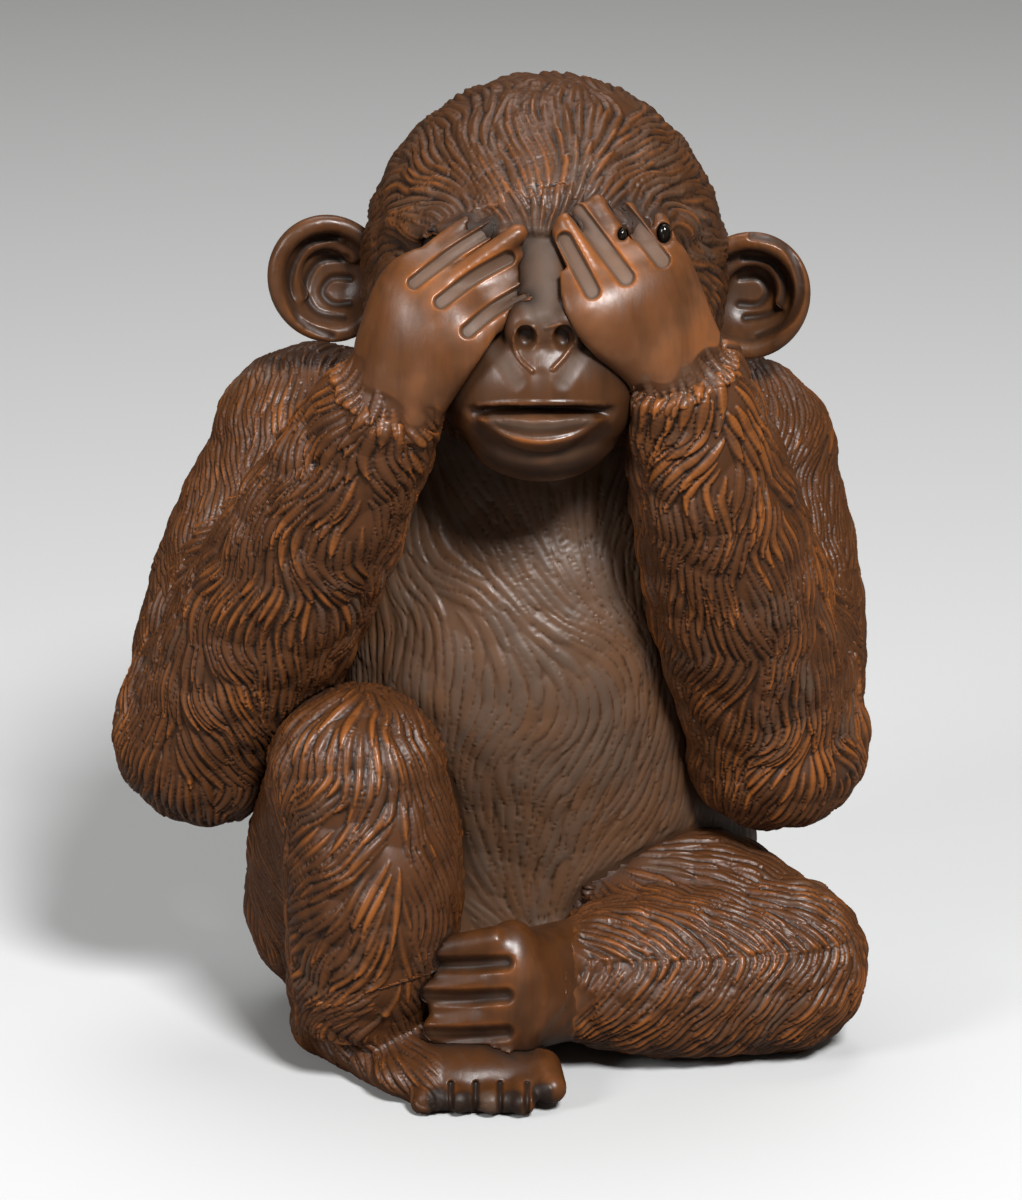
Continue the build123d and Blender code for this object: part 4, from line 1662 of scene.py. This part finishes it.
@dataclass
class RaisedLeg:
    """The raised right leg and its foot: strands fall from a crest on the shin into an outer parting.

    Attributes:
        hip: Middle of the hip, in millimetres.
        knee: Middle of the knee.
        ankle: Middle of the ankle.
        crest: Angle of the crest round the shin, from straight ahead, in radians.
        valley: Angle of the parting round the shin.
        bare_from: The foot is bare to the right of this place in the picture.
        instep: And below this one.
        onward: Direction in which the foot is parted from the leg, at the ankle.
        overlap: How far the two run into each other.
    """

    hip: Triple = (-10.2, 2.69, 9.5)
    knee: Triple = (-10.0, -11.31, 23.9)
    ankle: Triple = (-10.4, -10.31, 4.6)
    crest: float = 0.42
    valley: float = -0.93
    bare_from: float = -6.3
    instep: float = -32.4
    onward: Triple = (0.3, -0.35, -0.9)
    overlap: float = 1.7

    def lie(self, surface: Surface) -> tuple[Array, Array]:
        """Says which way the fur lies, and where it is bold.

        Args:
            surface: The surface.

        Returns:
            One direction a point, and 1 on the bold strands of the shin.
        """
        points = surface.points
        shin, offset, shin_gap = along_limb(points, self.knee, self.ankle)
        thigh, _, thigh_gap = along_limb(points, self.hip, self.knee)
        angle = np.arctan2(offset[:, 0], -offset[:, 1])
        to_crest = ease(angle, self.crest - 0.15, self.crest + 0.15)
        to_valley = ease(angle, self.valley - 0.08, self.valley + 0.08)
        turn = 0.55 * (1.0 - to_valley) - 0.75 * to_valley * (1.0 - to_crest) + 0.3 * to_crest
        turn = turn * ease(self.knee[2] + 4.0 - points[:, 2], 0.0, 8.0) + 0.2 * ripple(points, 8.0, 14)
        round_limb = np.stack((np.cos(angle), np.sin(angle), np.zeros(len(angle))), axis=1)
        shin_flow = np.outer(np.cos(turn), shin) + round_limb * column(np.sin(turn))
        ahead = ease(-surface.normals[:, 1], -0.3, 0.3)
        thigh_flow = everywhere(thigh + np.array((0.0, 0.0, -0.5)), points)
        on_shin = np.maximum(ease(thigh_gap / 8.3 - shin_gap / 6.6, -0.25, 0.1), ahead)
        bold = to_valley * (1.0 - to_crest)
        return blend(on_shin, thigh_flow, shin_flow), bold

    def comb(self, surface: Surface, near: Nearness) -> Coat:
        """Says how the fur lies on the leg.

        Args:
            surface: The surface before it is cut.
            near: Distances to other blocks.

        Returns:
            The coat.
        """
        points = surface.points
        flow, bold = self.lie(surface)
        low = ease(points[:, 2], 6.5, 3.0) * ease(points[:, 1], -9.0, -12.0)
        flow = blend(low, flow, everywhere((0.6, -0.5, -0.6), points))
        seen = SIGHT.seen(points) + column(0.7 * ripple(points, 4.0, 16))
        across = ease(seen[:, 0], self.bare_from + 0.8, self.bare_from - 0.8)
        edge = np.maximum(across, ease(seen[:, 1], self.instep, self.instep + 1.4))
        return Coat(flow, 0.58 + 0.2 * bold, 4.6 + 0.6 * bold, (0.42 + 0.1 * bold) * edge)

    def build(self, palette: Palette) -> None:
        """Makes the leg and the foot.

        Args:
            palette: Where materials come from.
        """
        below, above = parted(self.ankle, unit(np.array(self.onward)), self.overlap)
        Block(
            "right_leg_carved", "right_leg", 0.26, self.comb, LIMB_WOOD, Slot.FUR, ("right_foot",), seed=17,
            rounding=8, filling=70, trims=(below,),
        ).build(palette)
        Block(
            "right_foot_carved", "right_foot", 0.2, self.comb, FOOT_WOOD, Slot.BARE, ("right_leg",), seed=18,
            rounding=6, filling=20, trims=(above,), gouges=RIGHT_FOOT_CUTS,
        ).build(palette)


@dataclass
class FoldedLeg:
    """The folded left leg and its foot: stripes along the thigh, and a herringbone that meets along the shin.

    Attributes:
        line: Height of the line where the strands meet, in millimetres.
        cuff: How far the fur runs on to the foot.
        split: Where the foot is parted from the leg, along X.
        overlap: How far the two run into each other.
    """

    line: float = 10.0
    cuff: float = 1.6
    split: float = 6.2
    overlap: float = 1.2

    def lie(self, surface: Surface) -> Array:
        """Says which way the fur lies.

        Args:
            surface: The surface.

        Returns:
            One direction a point.
        """
        points = surface.points
        above = points[:, 2] - self.line
        slope = 0.85 - 0.72 * ease(above, 0.5, 6.5)
        upper = np.stack((np.cos(slope), np.full(len(slope), -0.1), -np.sin(slope)), axis=1)
        lower = everywhere((-0.62, 0.0, -0.78), points)
        flow = blend(ease(above, -0.2, 0.2), lower, upper)
        behind = everywhere((0.8, 0.2, -0.5), points)
        flow = blend(ease(surface.normals[:, 1], 0.2, 0.6), flow, behind)
        return surface.turned(flow, 0.14 * ripple(points, 9.0, 20))

    def comb(self, surface: Surface, near: Nearness) -> Coat:
        """Says how the fur lies on the leg.

        Args:
            surface: The surface before it is cut.
            near: Distances to other blocks.

        Returns:
            The coat.
        """
        high = ease(surface.points[:, 2] - self.line, 2.0, 6.0)
        edge = ease(near.seam + 0.6 * ripple(surface.points, 3.0, 22), self.cuff, 0.4)
        return Coat(
            flow=self.lie(surface),
            width=0.62 + 0.08 * high,
            length=4.6 + 1.6 * high,
            depth=(0.48 - 0.08 * high) * edge,
            lock=3.0,
            stray=0.1,
        )

    def build(self, palette: Palette) -> None:
        """Makes the leg and the foot.

        Args:
            palette: Where materials come from.
        """
        far, near = parted((self.split, 0.0, 0.0), (1.0, 0.0, 0.0), self.overlap)
        Block(
            "left_leg_carved", "left_leg", 0.24, self.comb, LIMB_WOOD, Slot.FUR, ("left_foot",), "left_leg",
            seed=19, rounding=8, filling=50, trims=(near,),
        ).build(palette)
        Block(
            "left_foot_carved", "left_foot", 0.2, self.comb, FOOT_WOOD, Slot.BARE, ("left_leg",), "left_leg",
            seed=20, filling=60, trims=(far,), gouges=LEFT_FOOT_CUTS,
        ).build(palette)


@dataclass
class PeepingEye:
    """The left eye: a horn bead whose front shows between the fingers.

    Attributes:
        node: The bead's CAD node.
        covers: Nodes that lie over the bead.
        fit: Size of the shown parts, as a share of the gaps between the fingers.
        depth: How deep they lie under the fingers, in millimetres.
    """

    node: str = "left_eye"
    covers: tuple[str, ...] = ("left_hand", "head", "face")
    fit: float = 0.9
    depth: float = 0.75

    def build(self, palette: Palette) -> None:
        """Makes the eye.

        Args:
            palette: Where materials come from.
        """
        form = node_form(self.node)
        over = faces_of(list(self.covers))
        for hole in EYE_HOLES:
            eye, line = hole.sight_line()
            skin = over.ray_cast(eye, line)[0] + line * self.depth
            radius = 0.5 * self.fit * hole.size[0]
            made = bmesh.ops.create_uvsphere(form, u_segments=32, v_segments=20, radius=radius)
            bmesh.ops.scale(form, vec=(1.0, 1.0, hole.size[1] / hole.size[0]), verts=made["verts"])
            bmesh.ops.translate(form, vec=skin + line * radius, verts=made["verts"])
        bmesh.ops.scale(form, vec=(1.0 / PER_METRE,) * 3, verts=form.verts)
        piece = shaped("left_eye_horn", form)
        piece.data.shade_smooth()
        piece.data.materials.append(palette.material(EYE_HORN))
        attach(piece, "root")
        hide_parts(self.node)
        log.info("%s: %d faces", piece.name, len(piece.data.polygons))


@dataclass
class Fittings:
    """The hidden eye and the hidden dowels, which keep their CAD shapes."""

    eyes: tuple[str, ...] = ("right_eye",)
    dowels: tuple[str, ...] = ("neck_dowel", "shoulder_dowels", "hip_dowels", "wrist_dowels", "ankle_dowels")

    def build(self, palette: Palette) -> None:
        """Gives the nodes their finishes.

        Args:
            palette: Where materials come from.
        """
        for names, finish in ((self.eyes, EYE_HORN), (self.dowels, DOWEL_WOOD)):
            for name in names:
                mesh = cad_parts[name].data
                mesh.materials.clear()
                mesh.materials.append(palette.material(finish))
                log.info("%s: dressed", name)


@dataclass
class Studio:
    """Floor, lights and camera, in metres.

    Attributes:
        focal: Focal length in pixels of the photograph.
        picture: Height of the photograph in pixels.
        floor_size: Half the floor's width.
        sky: Colour of the light all round.
        sky_strength: Its strength.
    """

    focal: float = 5118.0
    picture: float = 1200.0
    floor_size: float = 1.2
    sky: Triple = (1.0, 0.93, 0.84)
    sky_strength: float = 0.08

    def camera(self) -> None:
        """Puts the camera where the photograph was taken from."""
        lens = bpy.data.cameras.new("camera")
        lens.sensor_fit = "VERTICAL"
        lens.sensor_height = 24.0
        lens.lens = self.focal / self.picture * lens.sensor_height
        lens.clip_start = 0.01
        camera = bpy.data.objects.new("camera", lens)
        camera.location = (np.array(SIGHT.target) + SIGHT.back() * SIGHT.distance) / PER_METRE
        camera.rotation_euler = Euler((math.pi / 2 - SIGHT.elevation, 0.0, 0.0))
        bpy.context.scene.collection.objects.link(camera)
        bpy.context.scene.camera = camera

    def floor(self, palette: Palette) -> None:
        """Lays a plain pale floor.

        Args:
            palette: Where materials come from.
        """
        form = bmesh.new()
        bmesh.ops.create_grid(form, x_segments=1, y_segments=1, size=self.floor_size)
        floor = shaped("floor", form)
        floor.data.materials.append(palette.material(FLOOR))

    def lamp(self, name: str, place: Triple, size: float, power: float) -> None:
        """Adds a soft lamp that points at the figure.

        Args:
            name: The lamp's name.
            place: Where it hangs.
            size: Its width.
            power: Its power in watts.
        """
        light = bpy.data.lights.new(name, "AREA")
        light.shape = "DISK"
        light.size = size
        light.energy = power
        lamp = bpy.data.objects.new(name, light)
        lamp.location = place
        toward = Vector(place) - Vector(SIGHT.target) / PER_METRE
        lamp.rotation_euler = toward.to_track_quat("Z", "Y").to_euler()
        bpy.context.scene.collection.objects.link(lamp)

    def light(self) -> None:
        """Hangs the lamps and sets the soft light all round."""
        self.lamp("key", (0.16, -0.46, 0.46), 0.14, 5.4)
        self.lamp("fill", (-0.42, -0.40, 0.30), 0.20, 1.5)
        self.lamp("top", (0.0, 0.15, 0.60), 0.40, 1.2)
        world = bpy.data.worlds.new("soft_light")
        world.use_nodes = True
        world.node_tree.nodes["Background"].inputs["Color"].default_value = (*self.sky, 1.0)
        world.node_tree.nodes["Background"].inputs["Strength"].default_value = self.sky_strength
        bpy.context.scene.world = world
        bpy.context.scene.view_settings.view_transform = "Standard"

    def build(self, palette: Palette) -> None:
        """Sets the studio up.

        Args:
            palette: Where materials come from.
        """
        self.floor(palette)
        self.light()
        self.camera()


def main() -> None:
    """Builds the figure and the studio."""
    logging.basicConfig(level=logging.INFO, format="%(message)s")
    palette = Palette()
    right_arm = Arm(
        Side.RIGHT, shoulder=(-13.3, 5.69, 44.4), elbow=(-21.6, -1.71, 24.4), wrist=(-7.4, -16.51, 54.0),
        slant=0.75, sweep=0.35, gouges=RIGHT_HAND_CUTS,
    )
    left_arm = Arm(
        Side.LEFT, shoulder=(18.2, 5.69, 43.6), elbow=(21.6, -1.71, 24.0), wrist=(13.8, -15.71, 55.8),
        slant=0.5, sweep=0.3, gouges=LEFT_HAND_CUTS, punches=EYE_HOLES,
    )
    limbs = (right_arm, left_arm, RaisedLeg(), FoldedLeg())
    for assembly in (Body(), Head(), *limbs, PeepingEye(), Fittings(), Studio()):
        assembly.build(palette)


if __name__ == "__main__":
    main()
